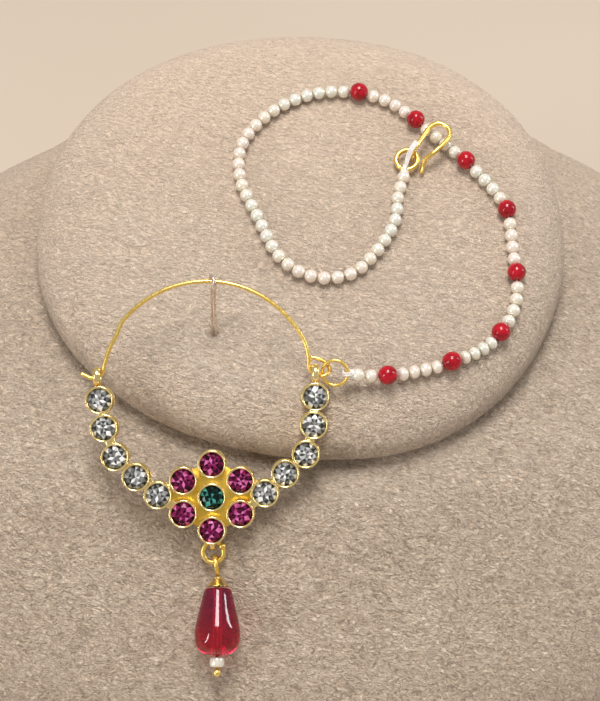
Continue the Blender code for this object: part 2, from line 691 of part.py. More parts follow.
def build_string(right_x):
    centre, across, tipped = string_ring_frame(right_x)
    path = circle(centre, STRING_RING_RADIUS, across, tipped, OPEN_RING_STEPS)
    ring_tube = tube(path, STRING_RING_WIRE / 2, WIRE_SIDES, True)
    solid("string_jump_ring", ring_tube, wire_gold, ring_frame)

    turn = radians(END_RING_TURN)
    lean = radians(END_RING_LEAN)
    towards = Vector((cos(turn), sin(turn), 0.0)) * cos(lean) + Vector((0, 0, sin(lean)))
    sideways = Vector((-sin(turn), cos(turn), 0.0))
    end_centre = Vector((END_RING_X, END_RING_Y, END_RING_Z))
    path = circle(end_centre, END_RING_RADIUS, towards, sideways, OPEN_RING_STEPS)
    solid("end_ring", tube(path, END_RING_WIRE / 2, WIRE_SIDES, True), wire_gold, pad_frame)

    beads = string_beads()
    first, second = beads[:FIRST_HALF], beads[FIRST_HALF:]
    angle = radians(THREAD_ANGLE)
    start = centre + STRING_RING_RADIUS * (cos(angle) * across + sin(angle) * tipped)
    start_heading = PAD_FROM_RING.to_3x3() @ (cos(angle) * tipped - sin(angle) * across)
    front = solid("bead_string_front", bead_tube(first), pearl_white, pad_frame)
    combine(front, thread_loop("loop", ring_to_pad(start), start_heading, first[0][0]))
    last = second[-1][0]
    nearest = min(range(len(path)), key=lambda i: (path[i] - last).length)
    end_heading = (path[(nearest + 1) % len(path)] - path[nearest - 1]).normalized()
    back = solid("bead_string_back", bead_tube(second), pearl_white, pad_frame)
    combine(back, thread_loop("loop", path[nearest], end_heading, last))

    hook_path = smooth_route(HOOK_ROUTE, HOOK_STEPS)
    solid("hook", tube(hook_path, HOOK_WIRE / 2, WIRE_SIDES), wire_gold, pad_frame)


def build_display_pin():
    top, surface, upward = pin_line()
    foot = surface - upward * PIN_DEPTH
    flat = (Vector((0, 1, 0)) - upward * upward.y).normalized()
    broad = Matrix.Rotation(radians(PIN_TURN), 3, upward) @ flat
    leg = Matrix.Rotation(radians(PIN_LEG_TURN), 3, upward) @ flat * (PIN_LEG_SPACING / 2)
    middle = top - upward * PIN_EYE_DROP
    neck = middle - upward * (PIN_EYE_RADIUS + PIN_NECK)
    path = [foot - leg, neck - leg]
    for k in range(PIN_EYE_STEPS + 1):
        turn = radians(PIN_EYE_SWEEP * (k / PIN_EYE_STEPS - 0.5))
        path.append(middle + PIN_EYE_RADIUS * (broad * sin(turn) + upward * cos(turn)))
    path += [neck + leg, foot + leg]
    legs = [PIN_WIRE / 2] * 2
    radii = legs + [PIN_EYE_WIRE / 2] * (PIN_EYE_STEPS + 1) + legs
    solid("display_pin", tube(path, radii, WIRE_SIDES), steel, pad_frame)


clear_cups, ruby_cups, green_cup = cup_centres()
left_eyelet_x = clear_cups[0].x + LEFT_EYELET_SHIFT
right_eyelet_x = clear_cups[5].x
build_bust()
build_pad()
build_setting(clear_cups, ruby_cups, green_cup)
build_stones(clear_cups, ruby_cups, green_cup)
build_hoop(left_eyelet_x, right_eyelet_x)
build_drop(ruby_cups[3])
build_string(right_eyelet_x)
build_display_pin()
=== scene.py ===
"""Visual model of the nath nose ring on its velvet neck bust.

Lengths in the tables are millimetres and are scaled to metres when a piece is made.
"""

from math import cos, exp, hypot, pi, radians, sin, sqrt

import bmesh
import bpy
from mathutils import Matrix, Vector, noise


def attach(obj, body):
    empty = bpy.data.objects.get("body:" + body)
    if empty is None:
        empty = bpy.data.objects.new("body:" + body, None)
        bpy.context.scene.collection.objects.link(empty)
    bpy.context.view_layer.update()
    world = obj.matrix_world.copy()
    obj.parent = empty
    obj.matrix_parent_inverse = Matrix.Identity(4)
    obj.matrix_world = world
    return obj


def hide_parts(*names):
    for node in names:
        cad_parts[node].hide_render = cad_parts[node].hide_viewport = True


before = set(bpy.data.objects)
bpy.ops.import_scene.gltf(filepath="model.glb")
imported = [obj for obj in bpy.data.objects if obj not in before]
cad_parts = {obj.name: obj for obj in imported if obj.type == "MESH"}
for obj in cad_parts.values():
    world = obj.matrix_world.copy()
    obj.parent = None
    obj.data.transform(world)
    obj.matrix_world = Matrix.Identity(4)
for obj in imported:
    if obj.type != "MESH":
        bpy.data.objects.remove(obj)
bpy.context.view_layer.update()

MM = 0.001
GAP = 0.3

# Neck bust
BUST_HALF_WIDTH = 105.0
BUST_HALF_DEPTH = 85.5
PAD_CENTRE_Y = 14.9
PAD_CENTRE_Z = 118.6
PAD_TILT = 14.0
PAD_HALF_WIDTH = 58.2
PAD_HALF_DEPTH = 53.8
PAD_FRONT_SHIFT = 8.0
PAD_FRONT_TRIM = 0.18
PAD_THICKNESS = 12.0
PAD_EDGE_DROP = 9.0
PAD_FLAT_SHARE = 0.78
PAD_ROUNDNESS = 2.2
PAD_SIDES = 300
PAD_FLAT_RINGS = 60
PAD_EDGE_RINGS = 30
# Rings below the rounded edge: share of the oval, height
PAD_UNDERSIDE = [
    (1.001, -9.5), (1.0, -10.1), (0.997, -10.6), (0.991, -11.1), (0.982, -11.5),
    (0.970, -11.8), (0.95, -12.0), (0.8, -12.0), (0.5, -12.0),
]
NECK_SHARE = 0.965
NECK_BULGE = 0.995
NECK_INNER_RINGS = (0.3, 0.7, 0.93)
BUST_ROUNDNESS = 2.35
BUST_SIDES = 320
BUST_STEPS = 24
# From the neck down: front, back and side reach, front and back height, as shares of the bust
BUST_SECTIONS = [
    (0.510, 0.780, 0.760, 0.765, 0.905),
    (0.620, 0.860, 0.890, 0.695, 0.820),
    (0.765, 0.950, 0.935, 0.607, 0.690),
    (0.880, 0.985, 0.975, 0.520, 0.570),
    (0.965, 1.000, 1.000, 0.390, 0.410),
    (1.000, 1.000, 1.000, 0.220, 0.225),
    (0.985, 0.985, 0.985, 0.000, 0.000),
]
# Unevenness of the velvet: wave length and share of the height
LUMP_WAVES = [(19, 0.35), (5, 0.10)]
PAD_LUMP = 0.8
BUST_LUMP = 1.0

# Nose ring
RING_X = -18.7
RING_Y = -28.8
RING_Z = 110.7
RING_LEAN = 42.0
RING_RADIUS = 21.9
HOOP_WIRE = 0.84
HOOP_START_DEG = 26.0
HOOP_END_DEG = 142.0
HOOP_STEPS = 18
# Both ends of the hoop, from the middle of the eyelet that each goes through
HOOP_CLOSED_END = [
    (-0.80, 3.25, -1.15), (0.50, 3.00, -1.05), (1.35, 2.65, -1.00), (2.25, 2.05, -0.90),
    (2.88, 0.85, -0.38), (2.35, -0.10, 0.50), (1.45, -0.52, 0.76), (0.75, -0.28, 0.36),
    (0.00, 0.00, 0.10), (-0.85, 0.35, 0.0), (-1.35, 1.50, 0.0), (-1.38, 3.30, 0.0),
]
HOOP_FREE_END = [
    (3.90, 8.29, 0.0), (2.89, 6.49, 0.0), (2.11, 4.48, 0.0), (1.50, 2.47, 0.0),
    (1.30, 1.27, 0.0), (1.00, 0.45, 0.0), (0.40, 0.00, 0.0), (-0.45, -0.12, 0.0),
    (-1.10, -0.40, 0.0), (-3.00, 0.50, 0.0),
]
CUP_BORE = 2.62
STONE_RADIUS = 2.3
STONE_TOP = 1.10
STONE_UNEVEN = 0.035
STONE_RIM_Z = 0.2
STONE_BACK_Z = -0.5
STONE_TILT = 3.0
FLOWER_X = 1.0
FLOWER_Y = -21.5
FLOWER_PITCH = 6.65
# Angle on the ring and share of its radius, from the eyelet down
LEFT_CUPS = [(185.3, 0.990), (200.3, 1.006), (216.1, 1.043), (230.8, 1.030), (245.0, 1.063)]
RIGHT_CUPS = [(-3.5, 0.997), (-18.1, 1.032), (-32.9, 1.081), (-46.8, 1.050), (-60.6, 1.084)]
BAR_TOP = -1.05
BAR_BOTTOM = -1.6
BAR_WIDTH = 2.6
FLOWER_BAR_WIDTH = 3.6
EYELET_RADIUS = 1.45
EYELET_OUTWARD = 0.06
EYELET_HALF_WALL = 0.46
EYELET_HALF_WIDTH = 0.76
EYELET_FOOT_RADIUS = 0.55
EYELET_FOOT_Z = -0.4
BAIL_HALF_WALL = 0.42
BAIL_HALF_WIDTH = 0.5
LEFT_EYELET_SHIFT = -0.5
LEFT_EYELET_Y = 2.75
RIGHT_EYELET_Y = 3.35
BAIL_Z = -2.6

# Drop
DROP_RING_RADIUS = 2.1
DROP_RING_WIRE = 0.92
DROP_RING_START = 32.0
DROP_RING_SWEEP = 350.0
DROP_RING_BLOB = 0.82
DROP_EYE_RADIUS = 1.7
DROP_EYE_SHIFT = -0.4
DROP_EYE_TIP = 10.0
DROP_WIRE = 0.9
DROP_LEAN = 12.0
DROP_RING_SHIFT = 0.12
DROP_SHIFT = 1.1
RING_PLAY = 0.4
STEM_RADIUS = 0.35
CAP_LENGTH = 2.1
BEAD_LENGTH = 13.3
BEAD_RADIUS = 4.6
DROP_PEARL_RADIUS = 1.5
DROP_PEARL_LENGTH = 2.0
BALL_RADIUS = 0.78
# Radius and height below the cap's top, from the bore out and back
CAP_PROFILE = [
    (0.72, 0.0), (0.86, 0.12), (0.92, 0.35), (1.20, 0.70), (1.55, 1.15), (1.92, 1.60),
    (2.28, 1.98), (2.36, 2.08), (2.22, 2.10), (1.7, 1.6), (1.1, 1.0),
]
# Share of the length, share of the radius
BEAD_PROFILE = [
    (0.000, 0.50), (0.035, 0.60), (0.220, 0.735), (0.415, 0.87), (0.600, 0.985),
    (0.710, 1.00), (0.820, 0.96), (0.910, 0.83), (0.975, 0.58),
]

# Bead string: routes lie on the pad, lengths run along the route
STRING_RING_RADIUS = 2.6
STRING_RING_WIRE = 0.72
STRING_RING_START = 196.0
STRING_RING_SWEEP = 352.0
STRING_RING_LEAN = -16.0
STRING_RING_TURN = -28.4
STRING_RING_OUT = 3.93
STRING_RING_DOWN = -0.12
THREAD_ANGLE = 28.4
WHITE_RADIUS = 1.42
RED_RADIUS = 2.0
FIRST_HALF = 38
RED_LENGTHS = [6.1, 19.9, 32.8, 47.7, 63.4, 78.7, 94.0, 109.0]
WHITES_BEFORE = 2
WHITES_BETWEEN = 4
WHITES_AFTER = 38
START_LIFT = 2.3
LIFT_LENGTH = 14.0
LIFT_POWER = 1.5
THREAD_RADIUS = 0.22
THREAD_LOOP_RADIUS = 1.08
STRING_ROUTE = [
    (11.65, -41.5), (17.6, -41.1), (22.5, -39.8), (31.2, -37.2), (40.0, -31.9), (45.2, -22.5),
    (45.2, -10.5), (44.1, 0.9), (37.2, 11.3), (28.0, 21.0), (20.5, 28.2), (12.0, 31.2),
    (2.8, 30.7), (-6.1, 26.0), (-12.6, 17.5), (-13.0, 7.7), (-8.9, -2.5), (-4.4, -12.1),
    (2.5, -17.0), (10.5, -16.5), (16.0, -11.1), (20.2, -3.7), (21.3, 3.5), (22.6, 8.2),
]
END_RING = (23.44, 12.5, 2.15)
END_RING_RADIUS = 2.35
END_RING_WIRE = 1.1
END_RING_START = 190.0
END_RING_SWEEP = 350.0
END_RING_LEAN = 12.0
END_RING_TURN = 51.0
# Middle strand over the hook's curl, and the step to the strand beside it
THREAD_OVER_HOOK = [
    (23.5, 11.8, 3.6), (24.3, 13.3, 4.9), (25.0, 14.5, 5.05), (25.6, 15.5, 4.6), (25.7, 15.7, 3.7),
]
STRAND_STEP = Vector((-0.3, 0.22, 0.0))
HOOK_WIRE = 1.1
HOOK_ROUTE = [
    (26.6, 9.8, 1.30), (26.95, 11.2, 1.80), (27.6, 12.3, 2.70), (29.3, 13.3, 3.75),
    (31.55, 15.4, 4.05), (32.9, 17.8, 4.05), (32.5, 19.8, 4.05), (30.6, 20.9, 4.05),
    (28.7, 19.9, 4.05), (27.3, 17.8, 4.05), (26.0, 15.6, 4.10), (25.15, 14.3, 4.15),
    (24.3, 13.1, 3.80), (23.9, 12.6, 2.70), (24.2, 13.1, 1.50), (24.9, 14.2, 1.20),
]

# Clear thread: the turns round a ring have their size and lean
THREAD_TURNS = [(1.0, 0.0), (0.94, 0.25), (0.96, -0.3)]
THREAD_TURN_SPACING = 0.28
THREAD_STUB_RADIUS = 0.3
KNOT_RADIUS = 0.62
KNOT_SPREAD = 0.42
KNOT_BALLS = 5

# Pin
PIN_WIRE = 0.4
PIN_LEG_SPACING = 0.68
PIN_LEG_TURN = 78.0
PIN_EYE_WIRE = 0.7
PIN_EYE_RADIUS = 1.45
PIN_EYE_DROP = 0.35
PIN_EYE_SWEEP = 260.0
PIN_NECK = 0.9
PIN_HOOP_DEG = 87.0
PIN_FOOT = (-17.8, -29.6, 0.0)
PIN_DEPTH = 5.0
PIN_TURN = 20.0
PIN_DIMPLE_DEPTH = 1.1
PIN_DIMPLE_RADIUS = 1.1

# Camera, as the photograph was taken
CAMERA_PLACE = (0.0, -0.22468, 0.34016)
CAMERA_TILT = 42.0
CAMERA_SENSOR = 36.0
CAMERA_LENS = 77.03

# Studio
FLOOR_REACH = 2.0
AMBIENT_COLOUR = (1.0, 0.96, 0.92, 1.0)
AMBIENT_STRENGTH = 0.47

PAD = Matrix.Translation((0.0, PAD_CENTRE_Y, PAD_CENTRE_Z)) @ Matrix.Rotation(radians(PAD_TILT), 4, "X")
RING = Matrix.Translation((RING_X, RING_Y, RING_Z)) @ Matrix.Rotation(radians(RING_LEAN), 4, "X")
PAD_FROM_RING = PAD.inverted() @ RING
X, Y, Z = Vector((1, 0, 0)), Vector((0, 1, 0)), Vector((0, 0, 1))


# Node helpers
class Paint:
    """A material and short ways to add nodes to it."""

    def __init__(self, name, colour, **sockets):
        self.material = bpy.data.materials.new(name)
        self.material.use_nodes = True
        self.tree = self.material.node_tree
        self.main = self.tree.nodes["Principled BSDF"]
        self.main.inputs["Base Color"].default_value = (*colour, 1.0)
        self.material.diffuse_color = (*colour, 1.0)
        for key, value in sockets.items():
            self.main.inputs[key.replace("_", " ")].default_value = value
        self.place = self.add("ShaderNodeTexCoord").outputs["Object"]

    def add(self, kind, **settings):
        made = self.tree.nodes.new(kind)
        for key, value in settings.items():
            setattr(made, key, value)
        return made

    def link(self, source, target):
        self.tree.links.new(source, target)

    def feed(self, sockets, values):
        """Gives each socket its number, colour or link."""
        for socket, value in zip(sockets, values):
            if isinstance(value, (int, float)):
                socket.default_value = value
            elif isinstance(value, tuple):
                socket.default_value = (*value, 1.0)
            else:
                self.link(value, socket)

    def scaled(self, scale, source=None):
        made = self.add("ShaderNodeMapping")
        made.inputs["Scale"].default_value = scale
        self.link(source or self.place, made.inputs["Vector"])
        return made.outputs["Vector"]

    def noise(self, scale, detail=3.0, roughness=0.55, source=None, distortion=0.0):
        made = self.add("ShaderNodeTexNoise")
        names = ("Vector", "Scale", "Detail", "Roughness", "Distortion")
        self.feed([made.inputs[name] for name in names],
                  (source or self.place, scale, detail, roughness, distortion))
        return made

    def math(self, operation, first, second):
        made = self.add("ShaderNodeMath", operation=operation)
        self.feed(made.inputs, (first, second))
        return made.outputs[0]

    def ramp(self, source, stops):
        made = self.add("ShaderNodeValToRGB")
        line = made.color_ramp
        while len(line.elements) < len(stops):
            line.elements.new(0.5)
        for element, (place, colour) in zip(line.elements, stops):
            element.position = place
            element.color = (*colour, 1.0)
        self.link(source, made.inputs["Fac"])
        return made.outputs["Color"]

    def range(self, source, low, high, to_low, to_high):
        made = self.add("ShaderNodeMapRange")
        self.feed(made.inputs, (source, low, high, to_low, to_high))
        return made.outputs["Result"]

    def blend(self, factor, first, second):
        made = self.add("ShaderNodeMix", data_type="RGBA")
        self.feed((made.inputs["Factor"], made.inputs[6], made.inputs[7]), (factor, first, second))
        return made.outputs[2]

    def colour(self, source):
        self.link(source, self.main.inputs["Base Color"])

    def rough(self, source):
        self.link(source, self.main.inputs["Roughness"])

    def bump(self, height, distance, strength):
        made = self.add("ShaderNodeBump")
        made.inputs["Distance"].default_value = distance
        made.inputs["Strength"].default_value = strength
        self.link(height, made.inputs["Height"])
        self.link(made.outputs["Normal"], self.main.inputs["Normal"])

    def attribute(self, name):
        return self.add("ShaderNodeAttribute", attribute_name=name).outputs["Fac"]


def velvet(name, dark, middle, light):
    """Short curled pile: fine strokes whose relief also sets the colour, with painted highlight on the tips
    and painted shade in the pits, flatter towards the back.
    """
    paint = Paint(name, middle, Roughness=0.92, Sheen_Weight=0.3, Sheen_Roughness=0.45)
    paint.main.inputs["Sheen Tint"].default_value = (0.95, 0.88, 0.80, 1.0)
    turned = paint.add("ShaderNodeVectorRotate", rotation_type="Z_AXIS")
    turned.inputs["Angle"].default_value = radians(20)
    paint.link(paint.place, turned.inputs["Vector"])
    strokes = paint.noise(1.0, 3.0, 0.6, paint.scaled((820, 1500, 1200), turned.outputs[0]), 1.8)
    tufts = paint.noise(1.0, 2.0, 0.5, paint.scaled((300, 500, 410), turned.outputs[0]), 2.4)
    patches = paint.noise(70.0, 3.0, 0.5)
    pile = paint.math("ADD", paint.math("MULTIPLY", strokes.outputs["Fac"], 0.62),
                      paint.math("MULTIPLY", tufts.outputs["Fac"], 0.38))
    split = paint.add("ShaderNodeSeparateXYZ")
    paint.link(paint.place, split.inputs[0])
    brushed = paint.range(split.outputs["Y"], -0.045, 0.055, 1.4, 0.6)
    relief = paint.math("MULTIPLY", paint.math("SUBTRACT", pile, 0.5), brushed)
    # Here and below, the colour grows darker towards the back.
    level = paint.range(split.outputs["Y"], -0.04, 0.05, 0.53, 0.5)
    tone = paint.math("ADD", paint.math("ADD", relief, level),
                      paint.range(patches.outputs["Fac"], 0.3, 0.7, -0.015, 0.015))
    # The relief sets the colour too: painted highlight on the pile's tips, painted shade in its pits.
    shade = paint.ramp(tone, [(0.38, dark), (0.47, middle), (0.53, middle), (0.62, light)])
    darker_towards_back = paint.blend(paint.range(split.outputs["Y"], -0.03, 0.06, 0.0, 0.38), shade, dark)
    # Painted shade: the colour darkens where the shade attribute is high, in the crease under the pad and
    # round the pin.
    paint.colour(paint.blend(paint.attribute("painted_shade"), darker_towards_back, tuple(0.45 * c for c in dark)))
    paint.bump(relief, 0.0026, 1.0)
    return paint.material


def gold(name, colour, deep, roughness, grain):
    """Bright gold plate: fine marks and a deeper tone in patches; the copy for the hollows is rougher and
    darker, its darkness painted shade.
    """
    paint = Paint(name, colour, Metallic=1.0, Roughness=roughness)
    patches = paint.noise(260.0, 3.0)
    fine = paint.noise(grain, 3.0, 0.6)
    paint.colour(paint.blend(paint.range(patches.outputs["Fac"], 0.35, 0.7, 0.0, 1.0), colour, deep))
    paint.rough(paint.range(fine.outputs["Fac"], 0.3, 0.7, roughness * 0.7, roughness * 1.5))
    paint.bump(fine.outputs["Fac"], 0.000006, 0.3)
    return paint.material


def pearl_paint(name, cool, warm, rosy):
    """Imitation pearl: a creamy body under a clear lacquer, a little different on each bead."""
    paint = Paint(name, warm, Metallic=0.3, Roughness=0.24, Subsurface_Weight=0.25,
                  Coat_Weight=1.0, Coat_Roughness=0.05)
    paint.main.inputs["Subsurface Radius"].default_value = (0.0012, 0.0009, 0.0006)
    paint.main.inputs["Subsurface Scale"].default_value = 0.6
    bead = paint.attribute("tone")
    base = paint.ramp(bead, [(0.0, cool), (0.5, warm), (1.0, rosy)])
    cloud = paint.noise(420.0, 2.0)
    paint.colour(paint.blend(paint.range(cloud.outputs["Fac"], 0.35, 0.7, 0.0, 0.35), base, cool))
    paint.rough(paint.range(cloud.outputs["Fac"], 0.3, 0.7, 0.2, 0.3))
    paint.bump(paint.noise(1400.0, 2.0).outputs["Fac"], 0.00003, 0.4)
    return paint.material


def gem(name, dark, middle, light, painted_glint):
    """Foil-backed cut glass drawn opaque: each facet's lightness is a painted reflection, up to a white
    painted glint, under a clear polish.
    """
    paint = Paint(name, middle, Metallic=0.15, Roughness=0.1, Specular_IOR_Level=0.2,
                  Coat_Weight=0.08, Coat_Roughness=0.02)
    tone = paint.attribute("tone")
    marks = paint.noise(700.0, 2.0)
    shifted = paint.math("ADD", tone, paint.range(marks.outputs["Fac"], 0.3, 0.7, -0.1, 0.1))
    paint.colour(paint.ramp(shifted, [(0.12, dark), (0.45, middle), (0.74, light), (0.96, painted_glint)]))
    paint.rough(paint.range(marks.outputs["Fac"], 0.35, 0.75, 0.05, 0.16))
    return paint.material


def red_glass(name):
    """Opaque glossy red glass with faint darker swirls."""
    paint = Paint(name, (0.50, 0.003, 0.02), Roughness=0.16, Specular_IOR_Level=0.25,
                  Coat_Weight=0.35, Coat_Roughness=0.05, Subsurface_Weight=0.08)
    paint.main.inputs["Subsurface Radius"].default_value = (0.0015, 0.0003, 0.0003)
    swirl = paint.noise(380.0, 3.0, 0.6, distortion=1.4)
    paint.colour(paint.ramp(swirl.outputs["Fac"], [(0.3, (0.20, 0.0, 0.006)), (0.55, (0.42, 0.001, 0.012)),
                                                   (0.75, (0.56, 0.006, 0.02))]))
    paint.rough(paint.range(swirl.outputs["Fac"], 0.3, 0.7, 0.12, 0.24))
    return paint.material


def cherry(name):
    """Clear cherry-red glass with slight inner haze, darker and more magenta at the top; the lighter red
    towards the bottom is painted light gathered in the drop.
    """
    paint = Paint(name, (0.60, 0.01, 0.05), Roughness=0.02, IOR=1.5, Transmission_Weight=0.86)
    haze = paint.noise(240.0, 3.0, 0.5, distortion=0.8)
    upper = paint.ramp(haze.outputs["Fac"], [(0.3, (0.36, 0.0, 0.055)), (0.7, (0.50, 0.004, 0.095))])
    lower = paint.ramp(haze.outputs["Fac"], [(0.3, (0.66, 0.0, 0.025)), (0.7, (0.84, 0.001, 0.045))])
    paint.colour(paint.blend(paint.range(paint.attribute("tone"), 0.25, 0.85, 0.0, 1.0), upper, lower))
    paint.rough(paint.range(haze.outputs["Fac"], 0.3, 0.7, 0.0, 0.05))
    return paint.material


def thread_paint(name):
    """Clear whitish nylon with a fine twist."""
    paint = Paint(name, (0.90, 0.86, 0.82), Roughness=0.3, Transmission_Weight=0.2)
    twist = paint.noise(1.0, 2.0, 0.5, paint.scaled((2500, 900, 2500)))
    paint.colour(paint.ramp(twist.outputs["Fac"], [(0.3, (0.82, 0.76, 0.71)), (0.7, (0.95, 0.92, 0.89))]))
    paint.bump(twist.outputs["Fac"], 0.00006, 0.5)
    return paint.material


def wire_metal(name):
    """Worn silver wire with a coppery tone."""
    paint = Paint(name, (0.60, 0.47, 0.38), Metallic=1.0, Roughness=0.28)
    worn = paint.noise(600.0, 3.0)
    paint.colour(paint.ramp(worn.outputs["Fac"], [(0.35, (0.62, 0.50, 0.42)), (0.6, (0.80, 0.70, 0.62)),
                                                  (0.75, (0.92, 0.86, 0.80))]))
    paint.rough(paint.range(worn.outputs["Fac"], 0.3, 0.7, 0.2, 0.42))
    return paint.material


# Mesh helpers
class Shape:
    """Points and faces, with each face's paint and tone and whether it is flat."""

    def __init__(self):
        self.points, self.faces, self.paints, self.flat, self.tones = [], [], [], [], []

    def add(self, points, faces, paint=0, flat=False, tone=0.5):
        start = len(self.points)
        self.points += [Vector(p) for p in points]
        self.faces += [tuple(start + i for i in face) for face in faces]
        self.paints += [paint] * len(faces)
        self.flat += [flat] * len(faces)
        self.tones += [tone] * len(faces)
        return self


def skin(rings, closed=False):
    """Faces over equal rings of points, with a cap at both ends unless the rings close."""
    sides = len(rings[0])
    points = [p for ring in rings for p in ring]
    faces = []
    count = len(rings)
    for i in range(count if closed else count - 1):
        low, high = i * sides, ((i + 1) % count) * sides
        for j in range(sides):
            k = (j + 1) % sides
            faces.append((low + j, low + k, high + k, high + j))
    if not closed:
        for first in (0, (count - 1) * sides):
            middle = len(points)
            points.append(sum((Vector(points[first + j]) for j in range(sides)), Vector()) / sides)
            faces += [(first + j, first + (j + 1) % sides, middle) for j in range(sides)]
    return points, faces


def turns(count):
    """Angles of equal steps round a circle."""
    return [2 * pi * i / count for i in range(count)]


def lathe(profile, sides, centre=(0, 0, 0), axis=Z, closed=False, wave=None):
    """Solid of revolution from (radius, height) pairs round an axis through centre."""
    axis = Vector(axis).normalized()
    guide = Y if abs(axis.y) < 0.9 else Z
    across = guide.cross(axis).normalized()
    up = axis.cross(across)
    centre = Vector(centre)
    rings = []
    for radius, height in profile:
        ring = []
        for angle in turns(sides):
            r, h = wave(angle, radius, height) if wave else (radius, height)
            ring.append(centre + axis * h + r * (cos(angle) * across + sin(angle) * up))
        rings.append(ring)
    return skin(rings, closed)


def tube(path, radii, sides, closed=False):
    """Round wire along a path, with rounded ends unless it closes."""
    path = [Vector(p) for p in path]
    if not isinstance(radii, (list, tuple)):
        radii = [radii] * len(path)
    if not closed:
        head = (path[0] - path[1]).normalized()
        tail = (path[-1] - path[-2]).normalized()
        steps = (0.92, 0.7, 0.38)
        before = [path[0] + head * radii[0] * s for s in steps]
        after = [path[-1] + tail * radii[-1] * s for s in reversed(steps)]
        shrink = [sqrt(1 - s * s) for s in steps]
        radii = ([radii[0] * s for s in shrink] + list(radii)
                 + [radii[-1] * s for s in reversed(shrink)])
        path = before + path + after
    count = len(path)
    tangents = []
    for i in range(count):
        first = path[i - 1] if closed or i > 0 else path[i]
        last = path[(i + 1) % count] if closed or i < count - 1 else path[i]
        tangents.append((last - first).normalized())
    guide = Z if abs(tangents[0].z) < 0.9 else Y
    side = tangents[0].cross(guide).normalized()
    rings = []
    for i in range(count):
        if i > 0:
            side = tangents[i - 1].rotation_difference(tangents[i]) @ side
        up = tangents[i].cross(side).normalized()
        rings.append([path[i] + radii[i] * (cos(angle) * side + sin(angle) * up)
                      for angle in turns(sides)])
    return skin(rings, closed)


def circle(centre, radius, first, second, steps, start=0.0, sweep=360.0):
    centre, first, second = Vector(centre), Vector(first), Vector(second)
    count = steps if sweep == 360.0 else steps + 1
    return [centre + radius * (cos(radians(start + sweep * i / steps)) * first
                               + sin(radians(start + sweep * i / steps)) * second)
            for i in range(count)]


def smooth_route(points, steps):
    """Points along a curve that passes through every given point."""
    points = [Vector(p) for p in points]
    ends = [2 * points[0] - points[1]] + points + [2 * points[-1] - points[-2]]
    route = []
    for i in range(1, len(ends) - 2):
        a, b, c, d = ends[i - 1:i + 3]
        for k in range(steps):
            t = k / steps
            route.append(0.5 * (2 * b + (c - a) * t + (2 * a - 5 * b + 4 * c - d) * t * t
                                + (3 * b - a - 3 * c + d) * t * t * t))
    return route + [points[-1]]


def ball(centre, radius, sides, stretch=(1, 1, 1)):
    rows = sides // 2
    profile = [(radius * sin(pi * i / rows), -radius * cos(pi * i / rows)) for i in range(1, rows)]
    points, faces = lathe(profile, sides)
    points[-2], points[-1] = Z * -radius, Z * radius
    return [Vector(centre) + Vector([a * b for a, b in zip(p, stretch)]) for p in points], faces


def piece(name, shape, place, paints, nodes):
    """Makes the mesh in metres, and sets what it rides on and what it stands for."""
    mesh = bpy.data.meshes.new(name)
    mesh.from_pydata([tuple((place @ p) * MM) for p in shape.points], [], shape.faces)
    for paint in paints:
        mesh.materials.append(paint)
    tone = mesh.attributes.new("tone", "FLOAT", "FACE")
    tone.data.foreach_set("value", shape.tones)
    for face, paint, flat in zip(mesh.polygons, shape.paints, shape.flat):
        face.material_index = paint
        face.use_smooth = not flat
    work = bmesh.new()
    work.from_mesh(mesh)
    bmesh.ops.recalc_face_normals(work, faces=work.faces)
    work.to_mesh(mesh)
    work.free()
    made = bpy.data.objects.new(name, mesh)
    bpy.context.scene.collection.objects.link(made)
    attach(made, "root")
    if nodes:
        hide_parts(*nodes)
    return made


def signed_power(value, power):
    return abs(value) ** power * (1 if value >= 0 else -1)


# Velvet
def pad_side(x, y):
    """Sideways place of a point of the oval, with the pad's front drawn right and its corner trimmed."""
    forward = min(y / PAD_HALF_DEPTH, 0.0) ** 2
    trim = PAD_FRONT_TRIM * forward if x > 0 else 0.0
    return x * (1.0 - trim) + PAD_FRONT_SHIFT * forward


def oval_point(half_width, half_depth, angle, roundness=PAD_ROUNDNESS):
    """Point of a squarish oval at an angle."""
    power = 2.0 / roundness
    return half_width * signed_power(cos(angle), power), half_depth * signed_power(sin(angle), power)


def pad_level(x, y):
    """Height of the pad's top at a point, against its flat middle."""
    forward = min(y / PAD_HALF_DEPTH, 0.0) ** 2
    aside = x - PAD_FRONT_SHIFT * forward
    if aside > 0:
        aside /= 1.0 - PAD_FRONT_TRIM * forward
    across = abs(aside / PAD_HALF_WIDTH) ** PAD_ROUNDNESS
    along = abs(y / PAD_HALF_DEPTH) ** PAD_ROUNDNESS
    share = (across + along) ** (1.0 / PAD_ROUNDNESS)
    past_flat = min(max((share - PAD_FLAT_SHARE) / (1.0 - PAD_FLAT_SHARE), 0.0), 1.0)
    return -PAD_EDGE_DROP * (1.0 - sqrt(1.0 - past_flat ** 2))


def soft_piece(name, rings, place, paint, node, painted_shade, lump):
    """Closed velvet form with slight unevenness; the given function tells how much painted shade lies at a
    point, as in a fold or round the pin.
    """
    shape = Shape().add(*skin(rings))
    made = piece(name, shape, place, [paint], [node])
    mesh = made.data
    normals = [v.normal.copy() for v in mesh.vertices]
    # Painted shade of each point, read by the velvet's colour.
    darkness = mesh.attributes.new("painted_shade", "FLOAT", "POINT")
    values = []
    for vertex, normal, point in zip(mesh.vertices, normals, shape.points):
        values.append(painted_shade(point))
        wave = sum(noise.noise(vertex.co / (length * MM)) * share for length, share in LUMP_WAVES)
        vertex.co += normal * (wave * lump * MM)
        vertex.co.z = max(vertex.co.z, 0.0)
    darkness.data.foreach_set("value", values)
    mesh.update()
    return made


